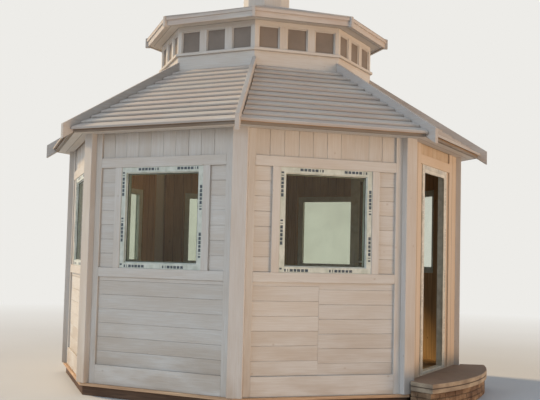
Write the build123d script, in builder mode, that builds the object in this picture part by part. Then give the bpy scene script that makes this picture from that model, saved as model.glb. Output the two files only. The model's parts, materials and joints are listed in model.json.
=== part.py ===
from build123d import *
import math
import os

os.makedirs("parts", exist_ok=True)

# Eight-sided timber garden gazebo with a glazed lantern on its lapped-board roof.
# Millimetres, +Z up. The door side faces -Y, and the origin is the centre of the base's underside.

# Plan of the eight sides
side_count = 8
wall_apothem = 2000
post_width = 140
post_depth = 140
post_projection = 26
frame_depth = 75

# Base and floor
base_beam_height = 90
base_beam_width = 120
base_beam_setback = 5
base_board_thickness = 28
base_board_projection = 25
base_board_width = 185
floor_rise = 125
floor_thickness = 28
joist_width = 60
joist_gap = 400

# Heights in a window wall, each piece on the one below
bottom_rail_height = 180
lower_panel_height = 828
middle_rail_height = 87
window_height = 945
top_rail_height = 93
frieze_height = 237

# Widths in a window wall
wall_stile_width = 66
window_width = 898
window_stud_width = 73
board_recess = 18
board_thickness = 20
lower_board_count = 6
side_board_count = 7
frieze_board_count = 10
groove_width = 6
groove_depth = 5
lining_thickness = 15

# White plastic windows and their double glazing
window_frame_face = 63
window_frame_depth = 70
window_rebate_width = 18
window_rebate_depth = 16
window_frame_setback = 6
glass_thickness = 24

# Doorway, its plastic frame and the glazed leaf that opens into the room
door_frame_width = 820
door_frame_face = 58
door_reveal_width = 90
door_header_height = 93
door_frieze_height = 102
door_stop_width = 17
door_stop_thickness = 10
joint_gap = 0.5
door_threshold_height = 25
door_clearance = 5
leaf_thickness = 60
leaf_stile_width = 80
leaf_bottom_rail_height = 110
leaf_middle_rail_height = 80
leaf_middle_rail_rise = 900
leaf_rest_angle = 90
hinge_knuckle_radius = 8
hinge_knuckle_length = 45
hinge_plate_thickness = 3
hinge_plate_width = 40
hinge_end_distance = 200
handle_height = 1050
handle_plate_length = 220
handle_plate_width = 30
handle_plate_thickness = 8
handle_plate_corner = 9
handle_lever_length = 120
handle_lever_radius = 9
handle_lever_thickness = 14
handle_reach = 45

# Main roof
eave_overhang = 230
eave_tip_stand = 50
roof_slope = 0.657
course_count = 12
course_drop = 18
roof_build_up = 45
eave_board_thickness = 25
eave_strip_setback = 30
eave_strip_thickness = 30
soffit_thickness = 15
hip_thickness = 40
hip_depth = 142
hip_stand = 62
hip_tail_projection = 63

# Glazed lantern
lantern_apothem = 1094
curb_thickness = 45
curb_drop = 60
curb_height = 125
lantern_sill_thickness = 28
lantern_sill_projection = 25
lantern_sill_width = 90
lantern_window_height = 232
lantern_window_count = 3
lantern_corner_width = 42
lantern_mullion_width = 80
lantern_wall_thickness = 45
lantern_glass_thickness = 6
head_height = 50

# Upper roof and finial
lantern_overhang = 152
fascia_thickness = 25
fascia_height = 55
fascia_drop = 10
fascia_cap_height = 30
fascia_cap_projection = 14
upper_soffit_thickness = 15
upper_roof_slope = 0.31
upper_roof_thickness = 24
upper_hip_thickness = 32
upper_hip_depth = 80
upper_tail_depth = 105
upper_hip_stand = 14
upper_tail_projection = 10
finial_apothem = 240
finial_block_stand = 220
finial_block_height = 330
finial_cap_thickness = 32
finial_cap_projection = 35
finial_roof_height = 110
finial_ball_radius = 42
finial_neck_radius = 20
finial_neck_height = 45

# Stone doorstep
step_rise = 122
step_reach = 465
step_slab_thickness = 44
step_post_gap = 12
step_brick_inset = 18

# Sizes worked out from those above
half_turn = 180 / side_count
side_turn = 360 / side_count
cos_half = math.cos(math.radians(half_turn))
sin_half = math.sin(math.radians(half_turn))
tan_half = math.tan(math.radians(half_turn))
foot = base_beam_height + base_board_thickness
floor_top = foot + floor_rise
panel_bottom = foot + bottom_rail_height
panel_top = panel_bottom + lower_panel_height
window_bottom = panel_top + middle_rail_height
window_top = window_bottom + window_height
frieze_bottom = window_top + top_rail_height
soffit_bottom = frieze_bottom + frieze_height
soffit_top = soffit_bottom + soffit_thickness
door_header_top = soffit_bottom - door_frieze_height
door_frame_top = door_header_top - door_header_height
door_frame_height = door_frame_top - floor_top
frame_inner_apothem = wall_apothem - frame_depth
board_apothem = wall_apothem - board_recess
lining_apothem = frame_inner_apothem - lining_thickness
window_frame_apothem = wall_apothem - window_frame_setback
post_face_radius = wall_apothem / cos_half + post_projection
post_inner_radius = post_face_radius - post_depth
half_post = post_width / 2
post_corner_u = post_inner_radius * sin_half - half_post * cos_half
post_side_u = (wall_apothem - half_post * sin_half) * tan_half - half_post * cos_half
frame_side_u = (frame_inner_apothem - half_post * sin_half) * tan_half - half_post * cos_half
half_panel = post_side_u - wall_stile_width
panel_width = 2 * half_panel
half_window = window_width / 2
half_door_frame = door_frame_width / 2
door_stile_edge = half_door_frame + door_reveal_width
eave_apothem = wall_apothem + eave_overhang
eave_tip_height = soffit_bottom + eave_tip_stand
eave_strip_apothem = eave_apothem - eave_strip_setback
hip_tail_radius = eave_apothem / cos_half + hip_tail_projection
cutter_margin = 100
window_sides = range(1, side_count)
all_sides = range(side_count)


def wall_plane(side, apothem, height):
    """Upright plane of one side, x to the right as seen from outside and y up."""
    angle = math.radians(-90 + side * side_turn)
    outward = (math.cos(angle), math.sin(angle), 0)
    origin = (apothem * outward[0], apothem * outward[1], height)
    return Plane(origin=origin, x_dir=(-outward[1], outward[0], 0), z_dir=outward)


def section_plane(place):
    """Upright plane out from the centre, x outward and y up: 0 is the door side, 0.5 a corner."""
    angle = math.radians(-90 + place * side_turn)
    outward = (math.cos(angle), math.sin(angle), 0)
    return Plane(origin=(0, 0, 0), x_dir=outward, z_dir=(outward[1], -outward[0], 0))


def roof_top(apothem):
    """Height of the line through the butts of the lapped roof boards."""
    return eave_tip_height + (eave_apothem - apothem) * roof_slope


def roof_underside(apothem):
    return roof_top(apothem) - roof_build_up


def hip_top(radius):
    """Height of a hip plank's upper edge at a radius along the corner."""
    return roof_top(radius * cos_half) + hip_stand


def plan_edge(apothem, gap):
    """Half width of a side at an apothem, with half a gap left at each corner."""
    return apothem * tan_half - gap / 2 / cos_half


def octagon(apothem, mode=Mode.ADD):
    """Plan outline with a side that faces -Y, added to the sketch or cut from it."""
    return RegularPolygon(
        apothem, side_count, major_radius=False, rotation=half_turn, mode=mode
    )


# Base beam ring on the ground
base_beam_apothem = wall_apothem - base_beam_setback
with BuildPart() as base_beam:
    with BuildSketch(Plane.XY):
        octagon(base_beam_apothem)
        octagon(base_beam_apothem - base_beam_width, Mode.SUBTRACT)
    extrude(amount=base_beam_height)
base_beam.part.label = "base_beam"
export_step(base_beam.part, "parts/base_beam.step")

# Unpainted board ring on the beam, standing a little proud of the walls
base_board_apothem = wall_apothem + base_board_projection
with BuildPart() as base_board:
    with BuildSketch(Plane.XY.offset(base_beam_height)):
        octagon(base_board_apothem)
        octagon(base_board_apothem - base_board_width, Mode.SUBTRACT)
    extrude(amount=base_board_thickness)
base_board.part.label = "base_board"
export_step(base_board.part, "parts/base_board.step")

# Floor joists inside the base ring, one of them under the middle of the room
joist_room = base_board_apothem - base_board_width
joist_pitch = joist_width + joist_gap
joists_beside_middle = int((joist_room - joist_width / 2) / joist_pitch)
with BuildPart() as floor_joists:
    with BuildSketch(Plane.XY):
        with GridLocations(joist_pitch, 0, 2 * joists_beside_middle + 1, 1):
            Rectangle(joist_width, joist_room * 2)
        octagon(joist_room, Mode.INTERSECT)
    extrude(amount=floor_top - floor_thickness)
floor_joists.part.label = "floor_joists"
export_step(floor_joists.part, "parts/floor_joists.step")

# Floor deck, notched round the posts
with BuildPart() as floor_deck:
    with BuildSketch(Plane.XY.offset(floor_top - floor_thickness)):
        octagon(frame_inner_apothem)
        with PolarLocations(post_inner_radius + half_post, side_count, -90 + half_turn):
            Rectangle(post_width, post_width, mode=Mode.SUBTRACT)
    extrude(amount=floor_thickness)
floor_deck.part.label = "floor_deck"
export_step(floor_deck.part, "parts/floor_deck.step")

# Corner posts, their tops cut to the underside of the hip planks
with BuildPart() as corner_posts:
    for corner in all_sides:
        with BuildSketch(section_plane(corner + 0.5)):
            with BuildLine():
                Polyline(
                    (post_inner_radius, foot),
                    (post_face_radius, foot),
                    (post_face_radius, hip_top(post_face_radius) - hip_depth),
                    (post_inner_radius, hip_top(post_inner_radius) - hip_depth),
                    close=True,
                )
            make_face()
        extrude(amount=half_post, both=True)
corner_posts.part.label = "corner_posts"
export_step(corner_posts.part, "parts/corner_posts.step")


# Stiles beside the posts, wider ones beside the doorway
def stile_pair(edge):
    """Plan of the two stiles of a side, from an inner edge to the posts."""
    outline = [
        (edge, -wall_apothem),
        (post_side_u, -wall_apothem),
        (frame_side_u, -frame_inner_apothem),
        (edge, -frame_inner_apothem),
    ]
    Polygon(*outline, align=None)
    Polygon(*[(-x, y) for x, y in reversed(outline)], align=None)


with BuildPart() as wall_stiles:
    with BuildSketch(Plane.XY.offset(foot)):
        with PolarLocations(0, side_count - 1, side_turn, 360 - side_turn):
            stile_pair(half_panel)
        stile_pair(door_stile_edge)
    extrude(amount=soffit_top - foot)
wall_stiles.part.label = "wall_stiles"
export_step(wall_stiles.part, "parts/wall_stiles.step")


def rail(side, bottom, height, width, apothem, depth, mode=Mode.ADD):
    """One level timber or board of a wall, from its outer face inward, added or cut."""
    with BuildSketch(wall_plane(side, apothem, bottom + height / 2)) as outline:
        Rectangle(width, height)
    extrude(outline.sketch, amount=-depth, mode=mode)


def upright(side, offset, bottom, height, width, apothem, depth):
    """A pair of like uprights, one each side of a wall's middle."""
    with BuildSketch(wall_plane(side, apothem, bottom + height / 2)) as outline:
        with Locations((offset, 0), (-offset, 0)):
            Rectangle(width, height)
    extrude(outline.sketch, amount=-depth)


# Bottom rails, the one under the doorway cut down to the floor
with BuildPart() as bottom_rails:
    for side in window_sides:
        rail(side, foot, bottom_rail_height, panel_width, wall_apothem, frame_depth)
    rail(0, foot, floor_rise, 2 * door_stile_edge, wall_apothem, frame_depth)
bottom_rails.part.label = "bottom_rails"
export_step(bottom_rails.part, "parts/bottom_rails.step")

# Rails under the windows
with BuildPart() as middle_rails:
    for side in window_sides:
        rail(side, panel_top, middle_rail_height, panel_width, wall_apothem, frame_depth)
middle_rails.part.label = "middle_rails"
export_step(middle_rails.part, "parts/middle_rails.step")

# Top rails over the windows and the doorway
with BuildPart() as top_rails:
    for side in window_sides:
        rail(side, window_top, top_rail_height, panel_width, wall_apothem, frame_depth)
    rail(0, door_frame_top, door_header_height, 2 * door_stile_edge, wall_apothem, frame_depth)
top_rails.part.label = "top_rails"
export_step(top_rails.part, "parts/top_rails.step")

# Studs that show as trim beside each window
with BuildPart() as window_studs:
    for side in window_sides:
        upright(side, half_window + window_stud_width / 2, window_bottom, window_height,
                window_stud_width, wall_apothem, frame_depth)
window_studs.part.label = "window_studs"
export_step(window_studs.part, "parts/window_studs.step")


def board_edge(length, board_count):
    """Outline points along a boarded face, with a V groove between boards."""
    pitch = length / board_count
    points = [(0, 0)]
    for board in range(1, board_count):
        joint = board * pitch
        points += [(joint - groove_width / 2, 0), (joint, -groove_depth), (joint + groove_width / 2, 0)]
    points.append((length, 0))
    return points


def level_boards(side, middle, bottom, height, width, board_count):
    """A panel of level boards: the grooved edge is drawn upright and run along the wall."""
    angle = math.radians(-90 + side * side_turn)
    outward = Vector(math.cos(angle), math.sin(angle), 0)
    along = Vector(-outward.Y, outward.X, 0)
    origin = outward * board_apothem + along * middle + Vector(0, 0, bottom)
    with BuildSketch(Plane(origin=origin, x_dir=(0, 0, 1), z_dir=along)) as outline:
        with BuildLine():
            face = board_edge(height, board_count)
            Polyline(*face, (height, -board_thickness), (0, -board_thickness), close=True)
        make_face()
    extrude(outline.sketch, amount=width / 2, both=True)


# Lower panels of level boards
with BuildPart() as lower_boards:
    for side in window_sides:
        level_boards(side, 0, panel_bottom, lower_panel_height, panel_width, lower_board_count)
lower_boards.part.label = "lower_boards"
export_step(lower_boards.part, "parts/lower_boards.step")

# Narrow panels of level boards beside the windows
side_board_width = half_panel - half_window - window_stud_width
side_board_middle = half_panel - side_board_width / 2
with BuildPart() as side_boards:
    for side in window_sides:
        for middle in (-side_board_middle, side_board_middle):
            level_boards(side, middle, window_bottom, window_height, side_board_width, side_board_count)
side_boards.part.label = "side_boards"
export_step(side_boards.part, "parts/side_boards.step")


def standing_boards(side, bottom, top, width, board_count):
    """A panel of upright boards: the grooved edge is drawn in plan and raised."""
    angle = -90 + side * side_turn
    with BuildSketch(Plane.XY.offset(bottom).rotated((0, 0, angle + 90))) as outline:
        with BuildLine():
            face = [(x - width / 2, -board_apothem - y) for x, y in board_edge(width, board_count)]
            back = board_thickness - board_apothem
            Polyline(*face, (width / 2, back), (-width / 2, back), close=True)
        make_face()
    extrude(outline.sketch, amount=top - bottom)


# Frieze of upright boards under the eaves
door_board_count = round(frieze_board_count * 2 * door_stile_edge / panel_width)
with BuildPart() as frieze_boards:
    for side in window_sides:
        standing_boards(side, frieze_bottom, soffit_top, panel_width, frieze_board_count)
    standing_boards(0, door_header_top, soffit_top, 2 * door_stile_edge, door_board_count)
frieze_boards.part.label = "frieze_boards"
export_step(frieze_boards.part, "parts/frieze_boards.step")

# Boards lining the room, unpainted
lining_width = 2 * post_corner_u
lining_side_width = post_corner_u - half_window
door_lining_width = post_corner_u - half_door_frame
with BuildPart() as wall_lining:
    for side in window_sides:
        rail(side, floor_top, window_bottom - floor_top, lining_width,
             frame_inner_apothem, lining_thickness)
        rail(side, window_top, soffit_top - window_top, lining_width,
             frame_inner_apothem, lining_thickness)
    rail(0, door_frame_top, soffit_top - door_frame_top, lining_width,
         frame_inner_apothem, lining_thickness)
wall_lining.part.label = "wall_lining"
export_step(wall_lining.part, "parts/wall_lining.step")

# Lining beside the windows and the doorway
with BuildPart() as side_lining:
    for side in window_sides:
        upright(side, half_window + lining_side_width / 2, window_bottom, window_height,
                lining_side_width, frame_inner_apothem, lining_thickness)
    upright(0, half_door_frame + door_lining_width / 2, floor_top, door_frame_height,
            door_lining_width, frame_inner_apothem, lining_thickness)
side_lining.part.label = "side_lining"
export_step(side_lining.part, "parts/side_lining.step")

# Plastic window frames: uprights, then heads and sills between them, rebated along the glass
window_jamb_offset = half_window - window_frame_face / 2
glass_width = window_width - 2 * window_frame_face
glass_height = window_height - 2 * window_frame_face
rebate_margin = window_frame_face - window_rebate_width


def window_rebate(side):
    """Cuts the outer face back round the glass, as glazing beads leave it."""
    rail(side, window_bottom + rebate_margin, window_height - 2 * rebate_margin,
         window_width - 2 * rebate_margin, window_frame_apothem, window_rebate_depth, Mode.SUBTRACT)


with BuildPart() as window_jambs:
    for side in window_sides:
        upright(side, window_jamb_offset, window_bottom, window_height,
                window_frame_face, window_frame_apothem, window_frame_depth)
        window_rebate(side)
window_jambs.part.label = "window_jambs"
export_step(window_jambs.part, "parts/window_jambs.step")

with BuildPart() as window_heads:
    for side in window_sides:
        for bottom in (window_bottom, window_top - window_frame_face):
            rail(side, bottom, window_frame_face, glass_width, window_frame_apothem, window_frame_depth)
        window_rebate(side)
window_heads.part.label = "window_heads"
export_step(window_heads.part, "parts/window_heads.step")

window_glass_apothem = window_frame_apothem - (window_frame_depth - glass_thickness) / 2
with BuildPart() as window_glass:
    for side in window_sides:
        rail(side, window_bottom + window_frame_face, glass_height, glass_width,
             window_glass_apothem, glass_thickness)
window_glass.part.label = "window_glass"
export_step(window_glass.part, "parts/window_glass.step")

# Recessed boards beside the door frame
with BuildPart() as door_reveal_boards:
    upright(0, half_door_frame + door_reveal_width / 2, floor_top, door_frame_height,
            door_reveal_width, board_apothem, board_apothem - frame_inner_apothem)
door_reveal_boards.part.label = "door_reveal_boards"
export_step(door_reveal_boards.part, "parts/door_reveal_boards.step")

# Plastic door frame with its threshold and stops
door_opening_half = half_door_frame - door_frame_face
with BuildPart() as door_jambs:
    upright(0, half_door_frame - door_frame_face / 2, floor_top, door_frame_height,
            door_frame_face, window_frame_apothem, frame_depth)
door_jambs.part.label = "door_jambs"
export_step(door_jambs.part, "parts/door_jambs.step")

with BuildPart() as door_head:
    rail(0, door_frame_top - door_frame_face, door_frame_face, 2 * door_opening_half,
         window_frame_apothem, frame_depth)
door_head.part.label = "door_head"
export_step(door_head.part, "parts/door_head.step")

door_opening_top = door_frame_top - door_frame_face
threshold_top = floor_top + door_threshold_height
with BuildPart() as door_threshold:
    rail(0, floor_top, door_threshold_height, 2 * door_opening_half,
         window_frame_apothem, frame_depth)
door_threshold.part.label = "door_threshold"
export_step(door_threshold.part, "parts/door_threshold.step")

stop_height = door_opening_top - threshold_top
with BuildPart() as door_stops:
    upright(0, door_opening_half - door_stop_width / 2, threshold_top, stop_height,
            door_stop_width, window_frame_apothem, door_stop_thickness)
    rail(0, door_opening_top - door_stop_width, door_stop_width,
         2 * (door_opening_half - door_stop_width - joint_gap), window_frame_apothem, door_stop_thickness)
door_stops.part.label = "door_stops"
export_step(door_stops.part, "parts/door_stops.step")

# The leaf hangs on the left as seen from outside and opens into the room. It is drawn on its own
# plane, which turns about the hinge line: x away from the hinges, y up, z out of the outer face.
jamb_inner_apothem = window_frame_apothem - frame_depth
hinge_line_apothem = jamb_inner_apothem - hinge_knuckle_radius
leaf_width = 2 * (door_opening_half - door_clearance)
leaf_bottom = threshold_top + door_clearance
leaf_top = door_opening_top - door_clearance
leaf_height = leaf_top - leaf_bottom
leaf_turn = math.radians(leaf_rest_angle)
leaf_across = Vector(math.cos(leaf_turn), math.sin(leaf_turn), 0)
leaf_outward = Vector(math.sin(leaf_turn), -math.cos(leaf_turn), 0)
hinge_line = Vector(-door_opening_half, -hinge_line_apothem, leaf_bottom)


def leaf_plane(offset):
    """Plane of the leaf at a distance in front of the hinge line."""
    return Plane(origin=hinge_line + leaf_outward * offset, x_dir=leaf_across, z_dir=leaf_outward)


def leaf_bar(offset, thickness, near, far, bottom, top):
    """One straight bar of the leaf, between two distances from the hinge line and two heights."""
    with BuildSketch(leaf_plane(offset)) as outline:
        with Locations(((near + far) / 2, (bottom + top) / 2)):
            Rectangle(far - near, top - bottom)
    extrude(outline.sketch, amount=thickness)


leaf_near = door_clearance
leaf_far = leaf_near + leaf_width
leaf_face = hinge_knuckle_radius
with BuildPart() as leaf_stiles:
    leaf_bar(leaf_face, leaf_thickness, leaf_near, leaf_near + leaf_stile_width, 0, leaf_height)
    leaf_bar(leaf_face, leaf_thickness, leaf_far - leaf_stile_width, leaf_far, 0, leaf_height)
leaf_stiles.part.label = "leaf_stiles"
export_step(leaf_stiles.part, "parts/leaf_stiles.step")

pane_near = leaf_near + leaf_stile_width
pane_far = leaf_far - leaf_stile_width
middle_rail_top = leaf_middle_rail_rise + leaf_middle_rail_height
top_rail_bottom = leaf_height - leaf_stile_width
with BuildPart() as leaf_rails:
    leaf_bar(leaf_face, leaf_thickness, pane_near, pane_far, 0, leaf_bottom_rail_height)
    leaf_bar(leaf_face, leaf_thickness, pane_near, pane_far, leaf_middle_rail_rise, middle_rail_top)
    leaf_bar(leaf_face, leaf_thickness, pane_near, pane_far, top_rail_bottom, leaf_height)
leaf_rails.part.label = "leaf_rails"
export_step(leaf_rails.part, "parts/leaf_rails.step")

leaf_glass_face = leaf_face + (leaf_thickness - glass_thickness) / 2
with BuildPart() as leaf_glass:
    leaf_bar(leaf_glass_face, glass_thickness, pane_near, pane_far,
             leaf_bottom_rail_height, leaf_middle_rail_rise)
    leaf_bar(leaf_glass_face, glass_thickness, pane_near, pane_far, middle_rail_top, top_rail_bottom)
leaf_glass.part.label = "leaf_glass"
export_step(leaf_glass.part, "parts/leaf_glass.step")

# Lever handles on both faces of the leaf, near its free edge
handle_middle = leaf_far - leaf_stile_width / 2
lever_middle = handle_middle + handle_lever_radius - handle_lever_length / 2
with BuildPart() as leaf_handles:
    for face, outward in ((leaf_face + leaf_thickness, 1), (leaf_face, -1)):
        with BuildSketch(leaf_plane(face)):
            with Locations((handle_middle, handle_height)):
                RectangleRounded(handle_plate_width, handle_plate_length, handle_plate_corner)
        extrude(amount=outward * handle_plate_thickness)
        with BuildSketch(leaf_plane(face + outward * handle_plate_thickness)):
            with Locations((handle_middle, handle_height)):
                Circle(handle_lever_radius)
        extrude(amount=outward * (handle_reach - handle_plate_thickness))
        with BuildSketch(leaf_plane(face + outward * handle_reach)):
            with Locations((lever_middle, handle_height)):
                SlotOverall(handle_lever_length, 2 * handle_lever_radius)
        extrude(amount=-outward * handle_lever_thickness)
leaf_handles.part.label = "leaf_handles"
export_step(leaf_handles.part, "parts/leaf_handles.step")

# Two-knuckle hinges: the lower knuckle is on the jamb and the upper one on the leaf
hinge_rises = (hinge_end_distance, leaf_height / 2, leaf_height - hinge_end_distance)
with BuildPart() as jamb_hinges:
    for rise in hinge_rises:
        with BuildSketch(Plane.XY.offset(leaf_bottom + rise)):
            with Locations((-door_opening_half, -hinge_line_apothem)):
                Circle(hinge_knuckle_radius)
            with Locations((-door_opening_half, -jamb_inner_apothem)):
                Rectangle(hinge_plate_width, hinge_plate_thickness, align=(Align.MAX, Align.MIN))
        extrude(amount=-hinge_knuckle_length)
jamb_hinges.part.label = "jamb_hinges"
export_step(jamb_hinges.part, "parts/jamb_hinges.step")

with BuildPart() as leaf_hinges:
    for rise in hinge_rises:
        knuckle_foot = hinge_line + Vector(0, 0, rise + joint_gap)
        with BuildSketch(Plane(origin=knuckle_foot, x_dir=leaf_across, z_dir=(0, 0, 1))):
            Circle(hinge_knuckle_radius)
            with Locations((0, -leaf_face)):
                Rectangle(hinge_plate_width, hinge_plate_thickness, align=(Align.MIN, Align.MIN))
        extrude(amount=hinge_knuckle_length)
leaf_hinges.part.label = "leaf_hinges"
export_step(leaf_hinges.part, "parts/leaf_hinges.step")


def wedge(near, far, gap):
    """Plan of one side between two apothems, with half the gap left beside each corner line."""
    near_half = plan_edge(near, gap)
    far_half = plan_edge(far, gap)
    Polygon((-near_half, -near), (-far_half, -far), (far_half, -far), (near_half, -near), align=None)


# Wall plates between the posts, their tops bevelled to the roof
cutter_height = 2 * roof_top(0)
with BuildPart() as plate_blank:
    with BuildSketch(section_plane(0)):
        with BuildLine():
            Polyline(
                (frame_inner_apothem, soffit_top),
                (wall_apothem, soffit_top),
                (wall_apothem, roof_underside(wall_apothem)),
                (frame_inner_apothem, roof_underside(frame_inner_apothem)),
                close=True,
            )
        make_face()
    extrude(amount=wall_apothem, both=True)
    with BuildSketch(Plane.XY):
        Polygon(
            (-post_side_u, -wall_apothem),
            (post_side_u, -wall_apothem),
            (frame_side_u, -frame_inner_apothem),
            (-frame_side_u, -frame_inner_apothem),
            align=None,
        )
    extrude(amount=cutter_height, mode=Mode.INTERSECT)

with BuildPart() as wall_plates:
    with PolarLocations(0, side_count):
        add(plate_blank.part)
wall_plates.part.label = "wall_plates"
export_step(wall_plates.part, "parts/wall_plates.step")

# Lapped roof boards: twelve courses a side, each butt standing over the board below
course_run = (eave_apothem - lantern_apothem) / course_count
lapped_edge = []
for course in range(course_count):
    butt = eave_apothem - course * course_run
    head = butt - course_run
    lapped_edge += [(butt, roof_top(butt)), (head, roof_top(head) - course_drop)]

with BuildPart() as roof_side:
    with BuildSketch(section_plane(0)):
        with BuildLine():
            Polyline(
                (lantern_apothem, roof_underside(lantern_apothem)),
                (eave_strip_apothem, roof_underside(eave_strip_apothem)),
                (eave_strip_apothem, roof_top(eave_strip_apothem) - eave_board_thickness),
                (eave_apothem, roof_top(eave_apothem) - eave_board_thickness),
                *lapped_edge,
                close=True,
            )
        make_face()
    extrude(amount=eave_apothem, both=True)
    with BuildSketch(Plane.XY):
        wedge(lantern_apothem - cutter_margin, eave_apothem + cutter_margin, hip_thickness)
    extrude(amount=cutter_height, mode=Mode.INTERSECT)

with BuildPart() as roof_boards:
    with PolarLocations(0, side_count):
        add(roof_side.part)
roof_boards.part.label = "roof_boards"
export_step(roof_boards.part, "parts/roof_boards.step")

# Hip planks on edge, standing proud of the boards, with plumb-cut tails past the eaves
with BuildPart() as hip_planks:
    for corner in all_sides:
        with BuildSketch(section_plane(corner + 0.5)):
            with BuildLine():
                Polyline(
                    (lantern_apothem, hip_top(lantern_apothem) - hip_depth),
                    (hip_tail_radius, hip_top(hip_tail_radius) - hip_depth),
                    (hip_tail_radius, hip_top(hip_tail_radius)),
                    (lantern_apothem, hip_top(lantern_apothem)),
                    close=True,
                )
            make_face()
        extrude(amount=hip_thickness / 2, both=True)
    with BuildSketch(Plane.XY):
        octagon(lantern_apothem)
    extrude(amount=cutter_height, mode=Mode.SUBTRACT)
hip_planks.part.label = "hip_planks"
export_step(hip_planks.part, "parts/hip_planks.step")

# Strips under the lowest boards, butted between the hip planks
with BuildPart() as strip_blank:
    with BuildSketch(section_plane(0)):
        with BuildLine():
            inner = eave_strip_apothem - eave_strip_thickness
            Polyline(
                (inner, soffit_bottom),
                (eave_strip_apothem, soffit_bottom),
                (eave_strip_apothem, roof_underside(eave_strip_apothem)),
                (inner, roof_underside(inner)),
                close=True,
            )
        make_face()
    extrude(amount=eave_apothem, both=True)
    with BuildSketch(Plane.XY):
        wedge(wall_apothem, eave_apothem, hip_thickness)
    extrude(amount=cutter_height, mode=Mode.INTERSECT)

with BuildPart() as eave_strips:
    with PolarLocations(0, side_count):
        add(strip_blank.part)
eave_strips.part.label = "eave_strips"
export_step(eave_strips.part, "parts/eave_strips.step")

# Soffit ring from the walls out to the strips, notched round the posts and hip planks
hip_drop = soffit_top - eave_tip_height - hip_stand + hip_depth
hip_notch_radius = (eave_apothem - hip_drop / roof_slope) / cos_half
with BuildPart() as eave_soffit:
    with BuildSketch(Plane.XY.offset(soffit_bottom)):
        octagon(eave_strip_apothem - eave_strip_thickness)
        octagon(wall_apothem, Mode.SUBTRACT)
        with PolarLocations(post_inner_radius + post_depth / 2, side_count, -90 + half_turn):
            Rectangle(post_depth, post_width, mode=Mode.SUBTRACT)
        with PolarLocations(hip_notch_radius, side_count, -90 + half_turn):
            Rectangle(
                post_depth, hip_thickness, align=(Align.MIN, Align.CENTER), mode=Mode.SUBTRACT
            )
    extrude(amount=soffit_thickness)
eave_soffit.part.label = "eave_soffit"
export_step(eave_soffit.part, "parts/eave_soffit.step")

# Lantern curb that the hips and roof boards end on
curb_top = roof_top(lantern_apothem) + curb_height
curb_bottom = roof_underside(lantern_apothem) - curb_drop
with BuildPart() as lantern_curb:
    with BuildSketch(Plane.XY.offset(curb_bottom)):
        octagon(lantern_apothem)
        octagon(lantern_apothem - curb_thickness, Mode.SUBTRACT)
    extrude(amount=curb_top - curb_bottom)
lantern_curb.part.label = "lantern_curb"
export_step(lantern_curb.part, "parts/lantern_curb.step")

# Lantern sill ring with a projecting drip edge
sill_top = curb_top + lantern_sill_thickness
sill_apothem = lantern_apothem + lantern_sill_projection
with BuildPart() as lantern_sill:
    with BuildSketch(Plane.XY.offset(curb_top)):
        octagon(sill_apothem)
        octagon(sill_apothem - lantern_sill_width, Mode.SUBTRACT)
    extrude(amount=lantern_sill_thickness)
lantern_sill.part.label = "lantern_sill"
export_step(lantern_sill.part, "parts/lantern_sill.step")

# Lantern corner posts and the mullions between three windows a side
lantern_half = lantern_apothem * tan_half - lantern_corner_width
lantern_glazed = 2 * lantern_half - (lantern_window_count - 1) * lantern_mullion_width
lantern_window_width = lantern_glazed / lantern_window_count
mullion_offset = (lantern_window_width + lantern_mullion_width) / 2
lantern_inner = lantern_apothem - lantern_wall_thickness
with BuildPart() as lantern_posts:
    with BuildSketch(Plane.XY.offset(sill_top)):
        octagon(lantern_apothem)
        octagon(lantern_inner, Mode.SUBTRACT)
        with PolarLocations(lantern_apothem, side_count, -90):
            Rectangle(2 * cutter_margin, 2 * lantern_half, mode=Mode.SUBTRACT)
    extrude(amount=lantern_window_height)
    for side in all_sides:
        upright(side, mullion_offset, sill_top, lantern_window_height,
                lantern_mullion_width, lantern_apothem, lantern_wall_thickness)
lantern_posts.part.label = "lantern_posts"
export_step(lantern_posts.part, "parts/lantern_posts.step")

pane_apothem = lantern_apothem - (lantern_wall_thickness - lantern_glass_thickness) / 2
with BuildPart() as lantern_glass:
    for side in all_sides:
        rail(side, sill_top, lantern_window_height, lantern_window_width,
             pane_apothem, lantern_glass_thickness)
        upright(side, 2 * mullion_offset, sill_top, lantern_window_height,
                lantern_window_width, pane_apothem, lantern_glass_thickness)
lantern_glass.part.label = "lantern_glass"
export_step(lantern_glass.part, "parts/lantern_glass.step")

# Head ring over the lantern windows
head_bottom = sill_top + lantern_window_height
head_top = head_bottom + head_height
with BuildPart() as lantern_head:
    with BuildSketch(Plane.XY.offset(head_bottom)):
        octagon(lantern_apothem)
        octagon(lantern_inner, Mode.SUBTRACT)
    extrude(amount=head_height)
lantern_head.part.label = "lantern_head"
export_step(lantern_head.part, "parts/lantern_head.step")

# Upper soffit, then the fascia with its thicker cap board
fascia_apothem = lantern_apothem + lantern_overhang
with BuildPart() as upper_soffit:
    with BuildSketch(Plane.XY.offset(head_top)):
        octagon(fascia_apothem - fascia_thickness)
        octagon(lantern_inner, Mode.SUBTRACT)
    extrude(amount=upper_soffit_thickness)
upper_soffit.part.label = "upper_soffit"
export_step(upper_soffit.part, "parts/upper_soffit.step")

fascia_bottom = head_top - fascia_drop
fascia_top = fascia_bottom + fascia_height


def fascia_length(apothem, thickness, gap):
    """Plan of the eight lengths of a band round the upper roof, butted to its hips."""
    with PolarLocations(0, side_count):
        wedge(apothem - thickness, apothem, gap)


cap_apothem = fascia_apothem + fascia_cap_projection
cap_top = fascia_top + fascia_cap_height
with BuildPart() as upper_fascia:
    with BuildSketch(Plane.XY.offset(fascia_bottom)):
        fascia_length(fascia_apothem, fascia_thickness, upper_hip_thickness)
    extrude(amount=fascia_height)
    with BuildSketch(Plane.XY.offset(fascia_top)):
        fascia_length(cap_apothem, fascia_thickness + fascia_cap_projection, upper_hip_thickness)
    extrude(amount=fascia_cap_height)
upper_fascia.part.label = "upper_fascia"
export_step(upper_fascia.part, "parts/upper_fascia.step")


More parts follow.
